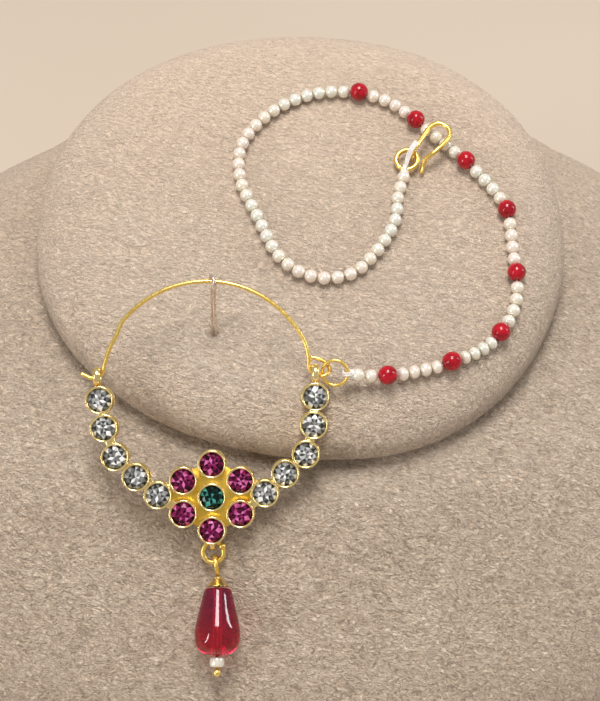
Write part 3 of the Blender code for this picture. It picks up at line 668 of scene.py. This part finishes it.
def make_pad(paint):
    steps = []
    for i in range(1, PAD_FLAT_RINGS + 1):
        steps.append((PAD_FLAT_SHARE * i / PAD_FLAT_RINGS, 0.0))
    for i in range(1, PAD_EDGE_RINGS + 1):
        turn = 0.5 * pi * i / PAD_EDGE_RINGS
        steps.append((PAD_FLAT_SHARE + (1 - PAD_FLAT_SHARE) * sin(turn),
                      -PAD_EDGE_DROP * (1 - cos(turn))))
    rings = []
    foot = Vector(PIN_FOOT)
    for share, level in steps + PAD_UNDERSIDE:
        ring = []
        for angle in turns(PAD_SIDES):
            x, y = oval_point(share * PAD_HALF_WIDTH, share * PAD_HALF_DEPTH, angle)
            x = pad_side(x, y)
            near = hypot(x - foot.x, y - foot.y)
            dimple = PIN_DIMPLE_DEPTH * exp(-(near / PIN_DIMPLE_RADIUS) ** 2) if level > -1.0 else 0.0
            ring.append(Vector((x, y, level - dimple)))
        rings.append(ring)

    # Painted shade under the pad's rounded edge and round the pin's way into the velvet.
    def painted_shade(point):
        under = min(max((-point.z - 11.3) / 0.6, 0.0), 1.0)
        near = hypot(point.x - foot.x, point.y - foot.y)
        return max(under * 0.6, 0.7 * exp(-(near / 0.9) ** 2))

    made = soft_piece("pad_velvet", rings, PAD, paint, "top_pad", painted_shade, PAD_LUMP)
    return made


def make_bust(paint):
    tilt = radians(PAD_TILT)
    neck_top = PAD_THICKNESS + GAP
    keys = []
    for angle in turns(BUST_SIDES):
        keys.append([])
        for share, depth in ((NECK_SHARE, neck_top), (NECK_BULGE, neck_top + 1.0)):
            x, y = oval_point(share * PAD_HALF_WIDTH, share * PAD_HALF_DEPTH, angle)
            keys[-1].append(Vector((pad_side(x, y), PAD_CENTRE_Y + y * cos(tilt) + depth * sin(tilt),
                                    PAD_CENTRE_Z + y * sin(tilt) - depth * cos(tilt))))
    for front, back, side, front_height, back_height in BUST_SECTIONS:
        middle = (back - front) * BUST_HALF_DEPTH / 2
        reach = (back + front) * BUST_HALF_DEPTH / 2
        height = (front_height + back_height) * PAD_CENTRE_Z / 2
        rise = (back_height - front_height) * PAD_CENTRE_Z / 2
        for column, angle in zip(keys, turns(BUST_SIDES)):
            x, y = oval_point(side * BUST_HALF_WIDTH, 1.0, angle, BUST_ROUNDNESS)
            column.append(Vector((x, middle + reach * y, height + rise * y)))
    columns = [smooth_route(column, BUST_STEPS) for column in keys]
    rings = [[column[i] for column in columns] for i in range(len(columns[0]))]
    for ring in rings:
        for point in ring:
            point.x = min(max(point.x, -BUST_HALF_WIDTH - 1), BUST_HALF_WIDTH + 1)
            point.z = max(point.z, 0.0)
    top = rings[0]
    middle = sum(top, Vector()) / len(top)
    inner = [[middle + (p - middle) * share for p in top] for share in NECK_INNER_RINGS]
    rings = inner + rings

    # Painted shade in the crease just below the pad.
    def painted_shade(point):
        away = min((point - p).length for p in top[::8])
        return 0.8 * max(1.0 - away / 1.5, 0.0) ** 1.5

    return soft_piece("bust_velvet", rings, Matrix(), paint, "bust_body", painted_shade,
                      BUST_LUMP)


# Setting and stones
def cup_centres():
    """Middles of the clear cups, left then right, of the six rubies from the top, and of the green."""
    clear = []
    for angle, share in LEFT_CUPS + RIGHT_CUPS:
        reach = RING_RADIUS * share
        clear.append(Vector((reach * cos(radians(angle)), reach * sin(radians(angle)), 0.0)))
    rubies = []
    for k in range(6):
        angle = radians(90 - 60 * k)
        rubies.append(Vector((FLOWER_X + FLOWER_PITCH * cos(angle),
                              FLOWER_Y + FLOWER_PITCH * sin(angle), 0.0)))
    return clear, rubies, Vector((FLOWER_X, FLOWER_Y, 0.0))


# Section of a bezel cup: radius, height
CUP_PROFILE = [
    (0.05, -1.72), (2.30, -1.72), (2.72, -1.70), (2.90, -1.62), (2.95, -1.50), (2.90, -1.38), (2.76, -1.30),
    (2.72, -1.15), (2.72, 0.55), (2.76, 0.80), (2.82, 0.96), (2.84, 1.08), (2.78, 1.17),
    (2.66, 1.20), (2.52, 1.13), (2.40, 1.00), (2.30, 0.84), (2.26, 0.70), (2.31, 0.58), (2.40, 0.46),
    (2.40, -0.85), (0.05, -0.90),
]


def bar(start, end, width, low, high, steps=8):
    """Solder bar with rounded long edges and a slight waist."""
    along = end - start
    across = Vector((-along.y, along.x, 0.0)).normalized()
    rings = []
    for i in range(steps + 1):
        share = i / steps
        half = width / 2 * (1 - 0.18 * sin(pi * share))
        ring = []
        for angle in turns(12):
            ring.append(start + along * share + across * half * signed_power(cos(angle), 0.6)
                        + Z * ((low + high) / 2 + (high - low) / 2 * signed_power(sin(angle), 0.6)))
        rings.append(ring)
    return skin(rings)


def ring_section(radius, half_wall, half_width, steps=14):
    """Rounded section of a small broad ring."""
    return [(radius + half_wall * cos(angle), half_width * sin(angle)) for angle in turns(steps)]


def make_setting(clear, rubies, green, paints):
    """Cups, solder bars, the flower's plate, two eyelets at the top and the bail: one piece."""
    shape = Shape()
    left, right = clear[:5], clear[5:]
    for chain, inner in ((left, (rubies[5], rubies[4])), (right, (rubies[1], rubies[2]))):
        for start, end in zip(chain, chain[1:]):
            shape.add(*bar(start, end, BAR_WIDTH, BAR_BOTTOM, BAR_TOP + 0.15))
        for end in inner:
            shape.add(*bar(chain[-1], end, BAR_WIDTH, BAR_BOTTOM, BAR_TOP + 0.15))
    plate = [(0.05, BAR_BOTTOM), (0.97, BAR_BOTTOM), (1.0, BAR_BOTTOM + 0.1), (1.0, BAR_TOP - 0.1),
             (0.97, BAR_TOP), (0.6, BAR_TOP + 0.25), (0.05, BAR_TOP + 0.25)]
    reach = FLOWER_PITCH * 0.98
    petals = [(share * reach, height) for share, height in plate]
    # The plate and the flower's bars take the darker gold: painted shade in the hollows between the cups.
    shape.add(*lathe(petals, 96, green, Z, False,
                     lambda angle, r, h: (r * (1 + 0.035 * cos(6 * angle)), h)), paint=1)
    for chain in (left, right):
        shape.add(*bar(chain[-1], green, FLOWER_BAR_WIDTH, BAR_BOTTOM, BAR_TOP + 0.12), paint=1)
    for centre in clear + rubies + [green]:
        shape.add(*lathe(CUP_PROFILE, 48, centre))
    for top_cup, shift, height in ((left[0], LEFT_EYELET_SHIFT, LEFT_EYELET_Y),
                                   (right[0], 0.0, RIGHT_EYELET_Y)):
        across = top_cup.x + shift
        band = ring_section(EYELET_RADIUS + EYELET_OUTWARD, EYELET_HALF_WALL, EYELET_HALF_WIDTH)
        shape.add(*lathe(band, 40, (across, height, 0.0), X, True))
        foot = Vector((across, top_cup.y + CUP_BORE, EYELET_FOOT_Z))
        head = Vector((across, height - EYELET_RADIUS + 0.1, EYELET_FOOT_Z))
        shape.add(*tube([foot, head], EYELET_FOOT_RADIUS, 14))
    bottom = rubies[3]
    band = ring_section(EYELET_RADIUS, BAIL_HALF_WALL, BAIL_HALF_WIDTH)
    shape.add(*lathe(band, 40, (bottom.x, bottom.y - CUP_BORE, BAIL_Z), X, True))
    return piece("setting_gold", shape, RING, paints, ["setting"])


# Rows of a stone's facets from the middle out: corners, share of the radius, height
STONE_ROWS = [(8, 0.36, 1.12), (8, 0.66, 1.10), (16, 1.00, 0.56)]
# Part of a corner's step by which each row is turned
STONE_SHIFTS = [0.0, 0.5, 1.0]
# Lightness of the facets in each band, repeated round the stone: painted reflection, since the stone is
# drawn opaque
FACET_PAINTED_REFLECTIONS = [(0.75, 0.3, 0.9, 0.45, 0.6), (0.55, 0.85, 0.15, 0.7, 0.4, 0.95, 0.3),
              (0.2, 0.7, 0.05, 0.5, 0.9, 0.3, 0.6)]


def stone(turn, seed):
    """Round cut stone: a shallow faceted dome over a hidden plain back."""
    points = [(0.0, 0.0, STONE_TOP)]
    rows = []
    for row, (corners, share, height) in enumerate(STONE_ROWS):
        rows.append([])
        for j in range(corners):
            angle = turn + 2 * pi * (j + STONE_SHIFTS[row]) / corners
            rise = STONE_UNEVEN * sin(7.3 * seed + 3.1 * j + 5.7 * row)
            reach = STONE_RADIUS * share
            rows[-1].append(len(points))
            points.append((reach * cos(angle), reach * sin(angle), height + rise))
    faces, tones = [], []

    # Each facet gets its painted reflection: a lightness from its band's list, shifted a little at random.
    def facet(face, band):
        pattern = FACET_PAINTED_REFLECTIONS[band]
        unrest = 0.5 * noise.noise(Vector((len(faces) * 1.37, seed * 2.11, 3.3)))
        faces.append(face)
        tones.append(min(max(pattern[len(faces) % len(pattern)] + unrest, 0.0), 1.0))

    for j in range(8):
        facet((0, rows[0][j], rows[0][(j + 1) % 8]), 0)
    for band in range(1, len(rows)):
        inner, outer = rows[band - 1], rows[band]
        ratio = len(outer) // len(inner)
        for j in range(len(inner)):
            here, following = inner[j], inner[(j + 1) % len(inner)]
            start = j * ratio - 1
            for k in range(start, start + ratio):
                facet((here, outer[k % len(outer)], outer[(k + 1) % len(outer)]), band)
            facet((here, outer[(start + ratio) % len(outer)], following), band)
    rim = rows[-1]
    low = len(points)
    points += [(points[i][0], points[i][1], STONE_RIM_Z) for i in rim]
    points.append((0.0, 0.0, STONE_BACK_Z))
    for j in range(len(rim)):
        k = (j + 1) % len(rim)
        faces += [(rim[j], rim[k], low + k, low + j), (low + j, low + k, len(points) - 1)]
        tones += [0.1, 0.1]
    return points, faces, tones


def make_stone(name, node, centre, seed, paint):
    points, faces, tones = stone(0.35 + seed * 0.61, seed)
    tilt = (Matrix.Rotation(radians(STONE_TILT * sin(seed * 2.3)), 3, "X")
            @ Matrix.Rotation(radians(STONE_TILT * cos(seed * 1.7)), 3, "Y"))
    shape = Shape().add([centre + tilt @ Vector(p) for p in points], faces, 0, True)
    # The faces' tones are the facets' painted reflections.
    shape.tones = tones
    return piece(name, shape, RING, [paint], [node])


# Hoop, rings, hook and pin
def make_hoop(left_x, right_x, paint):
    """Thin wire with a closed loop through the right eyelet and its free end in the left."""
    path = [(right_x + x, RIGHT_EYELET_Y + y, z) for x, y, z in HOOP_CLOSED_END]
    for i in range(HOOP_STEPS + 1):
        angle = radians(HOOP_START_DEG + (HOOP_END_DEG - HOOP_START_DEG) * i / HOOP_STEPS)
        path.append((RING_RADIUS * cos(angle), RING_RADIUS * sin(angle), 0.0))
    path += [(left_x + x, LEFT_EYELET_Y + y, z) for x, y, z in HOOP_FREE_END]
    route = smooth_route(path, 5)
    shape = Shape().add(*tube(route, HOOP_WIRE / 2, 18))
    return piece("hoop_gold", shape, RING, [paint], ["hoop_wire"])


def string_ring_frame(right_x):
    """Middle of the string's jump ring and the two directions that it lies in."""
    lean, turn = radians(STRING_RING_LEAN), radians(STRING_RING_TURN)
    centre = Vector((right_x + STRING_RING_OUT, RIGHT_EYELET_Y - STRING_RING_DOWN, 0.0))
    across = Vector((cos(turn), sin(turn), 0.0))
    up = Vector((-sin(turn), cos(turn), 0.0))
    return centre, across, up * cos(lean) - Z * sin(lean)


def make_string_ring(right_x, paint):
    centre, across, tipped = string_ring_frame(right_x)
    path = circle(centre, STRING_RING_RADIUS, across, tipped, 60, STRING_RING_START, STRING_RING_SWEEP)
    shape = Shape().add(*tube(path, STRING_RING_WIRE / 2, 14))
    return piece("string_ring_gold", shape, RING, [paint], ["string_jump_ring"])


def make_end_ring(paint):
    """Ring at the string's far end; returns its path for the thread to go round."""
    turn, lean = radians(END_RING_TURN), radians(END_RING_LEAN)
    towards = Vector((cos(turn), sin(turn), 0.0)) * cos(lean) + Z * sin(lean)
    sideways = Vector((-sin(turn), cos(turn), 0.0))
    path = circle(END_RING, END_RING_RADIUS, towards, sideways, 60, END_RING_START, END_RING_SWEEP)
    shape = Shape().add(*tube(path, END_RING_WIRE / 2, 16))
    piece("end_ring_gold", shape, PAD, [paint], ["end_ring"])
    return path


def make_hook(paint):
    """Hook for the hair, with a thinner wire at both ends."""
    route = smooth_route(HOOK_ROUTE, 8)
    radii = []
    for i in range(len(route)):
        near_end = min(i, len(route) - 1 - i) / 9
        radii.append(HOOK_WIRE / 2 * (0.86 + 0.14 * min(near_end, 1.0)))
    shape = Shape().add(*tube(route, radii, 18))
    return piece("hook_gold", shape, PAD, [paint], ["hook"])


def make_pin(paint):
    """Wire folded double, with its eye round the hoop and its legs in the pad."""
    angle = radians(PIN_HOOP_DEG)
    top = PAD_FROM_RING @ Vector((RING_RADIUS * cos(angle), RING_RADIUS * sin(angle), 0.0))
    surface = Vector(PIN_FOOT)
    upward = (top - surface).normalized()
    foot = surface - upward * PIN_DEPTH
    flat = (Y - upward * upward.y).normalized()
    broad = Matrix.Rotation(radians(PIN_TURN), 3, upward) @ flat
    leg = Matrix.Rotation(radians(PIN_LEG_TURN), 3, upward) @ flat * (PIN_LEG_SPACING / 2)
    middle = top - upward * PIN_EYE_DROP
    neck = middle - upward * (PIN_EYE_RADIUS + PIN_NECK)
    path = [foot - leg, surface - leg, neck - leg]
    for k in range(17):
        turn = radians(PIN_EYE_SWEEP * (k / 16 - 0.5))
        path.append(middle + PIN_EYE_RADIUS * (broad * sin(turn) + upward * cos(turn)))
    path += [neck + leg, surface + leg, foot + leg]
    route = smooth_route(path, 4)
    thin, thick = PIN_WIRE * 0.56, PIN_EYE_WIRE * 0.55
    radii = []
    for i in range(len(route)):
        into_eye = min(max((min(i, len(route) - 1 - i) - 8) / 5, 0.0), 1.0)
        radii.append(thin + (thick - thin) * into_eye)
    shape = Shape().add(*tube(route, radii, 12))
    return piece("pin_wire", shape, PAD, [paint], ["display_pin"])


# Drop
def make_drop(bottom_cup, wire, cast, bead_glass, pearl):
    """Jump ring, pin with eye and ball, cap, teardrop bead and seed pearl."""
    ring_y = bottom_cup.y - CUP_BORE - DROP_RING_RADIUS
    ring_centre = Vector((bottom_cup.x + DROP_RING_SHIFT, ring_y, BAIL_Z))
    path = circle(ring_centre, DROP_RING_RADIUS, X, Y, 64, DROP_RING_START, DROP_RING_SWEEP)
    shape = Shape().add(*tube(path, DROP_RING_WIRE * 0.56, 18))
    shape.add(*ball(path[0] + Vector((0.05, 0.05, 0.15)), DROP_RING_BLOB, 18, (1.0, 0.9, 0.9)))
    piece("drop_ring_gold", shape, RING, [wire], ["drop_jump_ring"])

    eye_y = ring_y - DROP_RING_RADIUS + DROP_RING_WIRE / 2 + RING_PLAY - DROP_EYE_RADIUS + DROP_WIRE / 2
    place = RING @ Matrix.Translation((bottom_cup.x + DROP_SHIFT, eye_y, BAIL_Z))
    place = place @ Matrix.Rotation(-radians(DROP_LEAN), 4, "X")
    down = -Y
    cap_top = DROP_EYE_RADIUS + DROP_WIRE / 2 + GAP
    bead_top = cap_top + CAP_LENGTH + GAP
    pearl_top = bead_top + BEAD_LENGTH + GAP
    ball_top = pearl_top + DROP_PEARL_LENGTH + GAP
    bore = STEM_RADIUS + GAP

    shape = Shape()
    tip = radians(DROP_EYE_TIP)
    upright = (-sin(tip), cos(tip), 0)
    eye = circle((DROP_EYE_SHIFT, 0, 0), DROP_EYE_RADIUS, upright, Z, 48)
    shape.add(*tube(eye, DROP_WIRE / 2, 16, True))
    middle = ball_top + BALL_RADIUS
    stem = [(STEM_RADIUS, DROP_EYE_RADIUS)]
    stem += [(BALL_RADIUS * cos(t), middle + BALL_RADIUS * sin(t))
             for t in [radians(-62 + 151 * i / 14) for i in range(15)]]
    shape.add(*lathe(stem, 28, (0, 0, 0), down))
    piece("drop_pin_gold", shape, place, [wire], ["drop_pin"])

    def petals(angle, radius, height):
        """Seven shallow petals that grow towards the cap's edge."""
        low = min(max((height - cap_top) / CAP_LENGTH, 0.0), 1.0)
        ripple = abs(cos(3.5 * angle))
        return radius * (0.93 + 0.09 * ripple * low), height - 0.30 * (1 - ripple) ** 2 * low ** 2

    cap = [(radius, cap_top + height)
           for radius, height in [(bore, 0.05)] + CAP_PROFILE + [(bore, 0.8)]]
    shape = Shape().add(*lathe(cap, 112, (0, 0, 0), down, True, petals))
    shape.add(*tube(circle(down * (cap_top + 0.30), 0.88, X, Z, 32), 0.12, 8, True))
    piece("drop_cap_gold", shape, place, [cast], ["drop_cap"])

    outline = smooth_route([(BEAD_RADIUS * r, bead_top + BEAD_LENGTH * a, 0) for a, r in BEAD_PROFILE]
                           + [(bore + 0.5, bead_top + BEAD_LENGTH, 0)], 7)
    bead = [(bore, bead_top + 0.2), (bore + 0.25, bead_top)] + [(p.x, p.y) for p in outline]
    bead += [(bore + 0.1, bead_top + BEAD_LENGTH), (bore, bead_top + BEAD_LENGTH - 0.15)]
    shape = Shape().add(*lathe(bead, 72, (0, 0, 0), down, True))
    # Each face's share of the length from the top, which sets the painted lighter red towards the bottom.
    shape.tones = [(bead[i // 72][1] - bead_top) / BEAD_LENGTH for i in range(len(shape.faces))]
    piece("teardrop_glass", shape, place, [bead_glass], ["teardrop_bead"])

    wide = (DROP_PEARL_RADIUS - bore) / 2
    seed = []
    for angle in turns(24):
        seed.append((bore + wide + wide * signed_power(cos(angle), 0.95),
                     pearl_top + DROP_PEARL_LENGTH / 2 * (1 + signed_power(sin(angle), 0.8))))
    shape = Shape().add(*lathe(seed, 40, (0, 0, 0), down, True), tone=0.2)
    piece("seed_bead", shape, place, [pearl], ["drop_pearl"])


# Bead string
def at_length(route, length):
    """Point and heading at a length along a route."""
    for a, b in zip(route, route[1:]):
        span = (b - a).length
        if length <= span:
            break
        length -= span
    return a + (b - a) * (length / span), (b - a).normalized()


def bead_stops(total):
    """Length along the route, half length and radius of each bead; whites fill the spaces evenly."""
    def whites(start, step, count):
        return [(start + step * k, step / 2, WHITE_RADIUS) for k in range(count)]

    step = (RED_LENGTHS[0] - RED_RADIUS) / (WHITES_BEFORE - 0.5)
    stops = whites(0.0, step, WHITES_BEFORE)
    for red, following in zip(RED_LENGTHS, RED_LENGTHS[1:] + [None]):
        stops.append((red, RED_RADIUS, RED_RADIUS))
        if following:
            step = (following - red - 2 * RED_RADIUS) / WHITES_BETWEEN
            stops += whites(red + RED_RADIUS + step / 2, step, WHITES_BETWEEN)
    step = (total - RED_LENGTHS[-1] - RED_RADIUS) / (WHITES_AFTER - 0.5)
    return stops + whites(RED_LENGTHS[-1] + RED_RADIUS + step / 2, step, WHITES_AFTER)


def string_beads():
    """Middle, heading, half length and radius of every bead on the pad."""
    flat = smooth_route([(x, y, 0.0) for x, y in STRING_ROUTE], 8)
    total = sum((b - a).length for a, b in zip(flat, flat[1:]))
    beads = []
    for length, half, radius in bead_stops(total):
        place, heading = at_length(flat, length)
        lift = START_LIFT * max(1.0 - length / LIFT_LENGTH, 0.0) ** LIFT_POWER
        height = pad_level(place.x, place.y) + radius + GAP + lift
        beads.append((Vector((place.x, place.y, height)), heading, half, radius))
    return beads


def bead_shape(shape, centre, heading, half, radius, index, red):
    """One drilled bead: nearly round, as long as its share of the thread, its hole's rims turned in."""
    length = half * (1.01 + 0.02 * sin(index * 2.9))
    girth = radius * (1.0 + 0.015 * sin(index * 5.1))
    rows = 18 if red else 14
    sides = 32 if red else 24
    profile = [(0.16 * radius, -0.90 * length)]
    for i in range(rows + 1):
        angle = -1.34 + 2.68 * i / rows
        profile.append((girth * cos(angle), length * sin(angle)))
    profile.append((0.16 * radius, 0.90 * length))
    tilt = Vector((0.07 * sin(index * 1.9), 0.07 * cos(index * 3.7), 0.05 * sin(index * 4.3)))
    axis = (heading + tilt).normalized()
    tone = 0.5 + 0.5 * sin(index * 12.9898)
    shape.add(*lathe(profile, sides, centre, axis, True), paint=1 if red else 0, tone=tone)


def make_half(name, node, beads, start_index, wire_point, wire_heading, at_start, paints):
    """Half of the string, with its thread and the thread's loop and knot on the ring at its end."""
    shape = Shape()
    for i, (centre, heading, half, radius) in enumerate(beads):
        bead_shape(shape, centre, heading, half, radius, start_index + i, radius == RED_RADIUS)
    centres = [b[0] for b in beads]
    shape.add(*tube(centres, THREAD_RADIUS, 8), paint=2)
    bead, heading, half, radius = beads[0] if at_start else beads[-1]
    towards = wire_point - bead
    towards = (towards - wire_heading * towards.dot(wire_heading)).normalized()
    side = wire_heading
    up = side.cross(towards)
    for k, (size, tip) in enumerate(THREAD_TURNS):
        lean = (up + side * tip).normalized()
        shift = side * (THREAD_TURN_SPACING * (k - 1))
        shape.add(*tube(circle(wire_point + shift, size, towards, lean, 28), THREAD_RADIUS * 0.95, 8, True),
                  paint=2)
    knot = wire_point - towards * THREAD_LOOP_RADIUS
    rim = bead + towards * radius
    shape.add(*tube([knot, (knot + rim) / 2, bead], THREAD_STUB_RADIUS, 10), paint=2)
    for angle in turns(KNOT_BALLS):
        spot = (knot * 0.55 + rim * 0.45) + KNOT_SPREAD * (cos(angle) * side + sin(angle) * up)
        shape.add(*ball(spot, KNOT_RADIUS, 14), paint=2)
    if not at_start:
        over = [Vector(p) for p in THREAD_OVER_HOOK]
        for k in range(3):
            strand = smooth_route([knot] + [p + STRAND_STEP * (k - 1) for p in over], 6)
            shape.add(*tube(strand, THREAD_RADIUS, 8), paint=2)
    return piece(name, shape, PAD, paints, [node])


# Make everything
beige = velvet("beige_velvet", (0.42, 0.312, 0.226), (0.70, 0.540, 0.402), (0.90, 0.74, 0.58))
# The pad's velvet is a lighter copy of the bust's: painted light on the top.
pad_beige_painted_lighter = velvet("beige_velvet_pad", (0.55, 0.415, 0.308), (0.775, 0.605, 0.462), (0.92, 0.76, 0.60))
gold_cast = gold("gold_plate_cast", (0.99, 0.82, 0.42), (0.90, 0.68, 0.26), 0.17, 1500.0)
# Darker copy of the gold for the sunk plate: painted shade in the hollows, with a rougher finish.
gold_painted_shade_hollow = gold("gold_plate_hollow_painted_shade", (0.86, 0.60, 0.11), (0.74, 0.44, 0.04), 0.34, 1500.0)
gold_wire = gold("gold_plate_wire", (0.97, 0.72, 0.22), (0.92, 0.64, 0.15), 0.27, 2200.0)
pearl = pearl_paint("pearl_lacquer", (0.79, 0.77, 0.68), (0.84, 0.76, 0.63), (0.85, 0.74, 0.65))
red = red_glass("red_bead_glass")
thread = thread_paint("clear_thread")
cherry_drop = cherry("cherry_drop_glass")
coppery = wire_metal("coppery_wire")
# Stone colours run from dark to a painted glint; the facets' lightness is painted reflection.
clear_gem = gem("clear_cut_glass", (0.03, 0.032, 0.03), (0.15, 0.15, 0.145), (0.36, 0.37, 0.37),
                (0.95, 0.95, 0.95))
ruby_gem = gem("magenta_cut_glass", (0.012, 0.0, 0.005), (0.085, 0.003, 0.030), (0.21, 0.008, 0.080),
               (0.70, 0.16, 0.42))
green_gem = gem("green_cut_glass", (0.0, 0.004, 0.003), (0.0, 0.011, 0.009), (0.001, 0.032, 0.026),
                (0.07, 0.34, 0.28))

clear_cups, ruby_cups, green_cup = cup_centres()
left_x, right_x = clear_cups[0].x + LEFT_EYELET_SHIFT, clear_cups[5].x
make_pad(pad_beige_painted_lighter)
make_bust(beige)
make_setting(clear_cups, ruby_cups, green_cup, [gold_cast, gold_painted_shade_hollow])
for k, centre in enumerate(clear_cups):
    side = "left" if k < 5 else "right"
    make_stone(f"clear_gem_{side}_{k % 5 + 1}", f"clear_stone_{side}_{k % 5 + 1}", centre, k + 1,
               clear_gem)
for k, centre in enumerate(ruby_cups):
    make_stone(f"magenta_gem_{k + 1}", f"ruby_stone_{k + 1}", centre, k + 21, ruby_gem)
make_stone("green_gem", "green_stone", green_cup, 41, green_gem)
make_hoop(left_x, right_x, gold_wire)
make_drop(ruby_cups[3], gold_wire, gold_cast, cherry_drop, pearl)
make_string_ring(right_x, gold_wire)
end_path = make_end_ring(gold_wire)
make_hook(gold_wire)
make_pin(coppery)

beads = string_beads()
ring_centre, ring_across, ring_tipped = string_ring_frame(right_x)
exit_turn = radians(THREAD_ANGLE)
first_point = PAD_FROM_RING @ (ring_centre + STRING_RING_RADIUS * (
    cos(exit_turn) * ring_across + sin(exit_turn) * ring_tipped))
first_heading = PAD_FROM_RING.to_3x3() @ (cos(exit_turn) * ring_tipped - sin(exit_turn) * ring_across)
last_bead = beads[-1][0]
nearest = min(range(1, len(end_path) - 1), key=lambda i: (end_path[i] - last_bead).length)
last_heading = (end_path[nearest + 1] - end_path[nearest - 1]).normalized()
make_half("string_front_beads", "bead_string_front", beads[:FIRST_HALF], 0, first_point, first_heading,
          True, [pearl, red, thread])
make_half("string_back_beads", "bead_string_back", beads[FIRST_HALF:], FIRST_HALF, end_path[nearest],
          last_heading, False, [pearl, red, thread])

# Floor, light and camera
floor_mesh = bpy.data.meshes.new("floor")
corners = [(x * FLOOR_REACH, y * FLOOR_REACH, 0) for x, y in ((-1, -1), (1, -1), (1, 1), (-1, 1))]
floor_mesh.from_pydata(corners, [], [(0, 1, 2, 3)])
floor = bpy.data.objects.new("floor", floor_mesh)
bpy.context.scene.collection.objects.link(floor)
floor_paint = Paint("floor_paint", (0.62, 0.52, 0.42), Roughness=0.7)
floor_tone = floor_paint.noise(2.5, 2.0)
floor_paint.colour(floor_paint.ramp(floor_tone.outputs["Fac"],
                                    [(0.3, (0.58, 0.48, 0.38)), (0.7, (0.64, 0.54, 0.44))]))
floor_mesh.materials.append(floor_paint.material)

world = bpy.data.worlds.new("studio")
world.use_nodes = True
world.node_tree.nodes["Background"].inputs["Color"].default_value = AMBIENT_COLOUR
world.node_tree.nodes["Background"].inputs["Strength"].default_value = AMBIENT_STRENGTH
bpy.context.scene.world = world


def light(name, place, target, size, power, colour):
    lamp = bpy.data.lights.new(name, "AREA")
    lamp.shape = "RECTANGLE"
    lamp.size, lamp.size_y = size
    lamp.energy = power
    lamp.color = colour
    made = bpy.data.objects.new(name, lamp)
    made.location = place
    made.rotation_euler = (Vector(target) - Vector(place)).to_track_quat("-Z", "Y").to_euler()
    bpy.context.scene.collection.objects.link(made)


light("overhead", (0.0, 0.03, 0.85), (0.0, 0.0, 0.11), (0.26, 0.40), 5.3, (1.0, 0.98, 0.96))
light("left_window", (-0.72, -0.50, 0.45), (0.0, 0.0, 0.10), (0.07, 0.55), 2.2, (1.0, 0.96, 0.92))
light("right_window", (0.8, 0.1, 0.5), (0.0, 0.0, 0.10), (0.07, 0.5), 1.6, (0.94, 0.97, 1.0))

view = bpy.data.cameras.new("photo_camera")
view.sensor_width = CAMERA_SENSOR
view.lens = CAMERA_LENS
view.clip_start = 0.01
view.clip_end = 10.0
camera = bpy.data.objects.new("photo_camera", view)
camera.location = CAMERA_PLACE
camera.rotation_euler = (radians(CAMERA_TILT), 0.0, 0.0)
bpy.context.scene.collection.objects.link(camera)
bpy.context.scene.camera = camera
bpy.context.scene.view_settings.view_transform = "Standard"

bpy.context.view_layer.update()
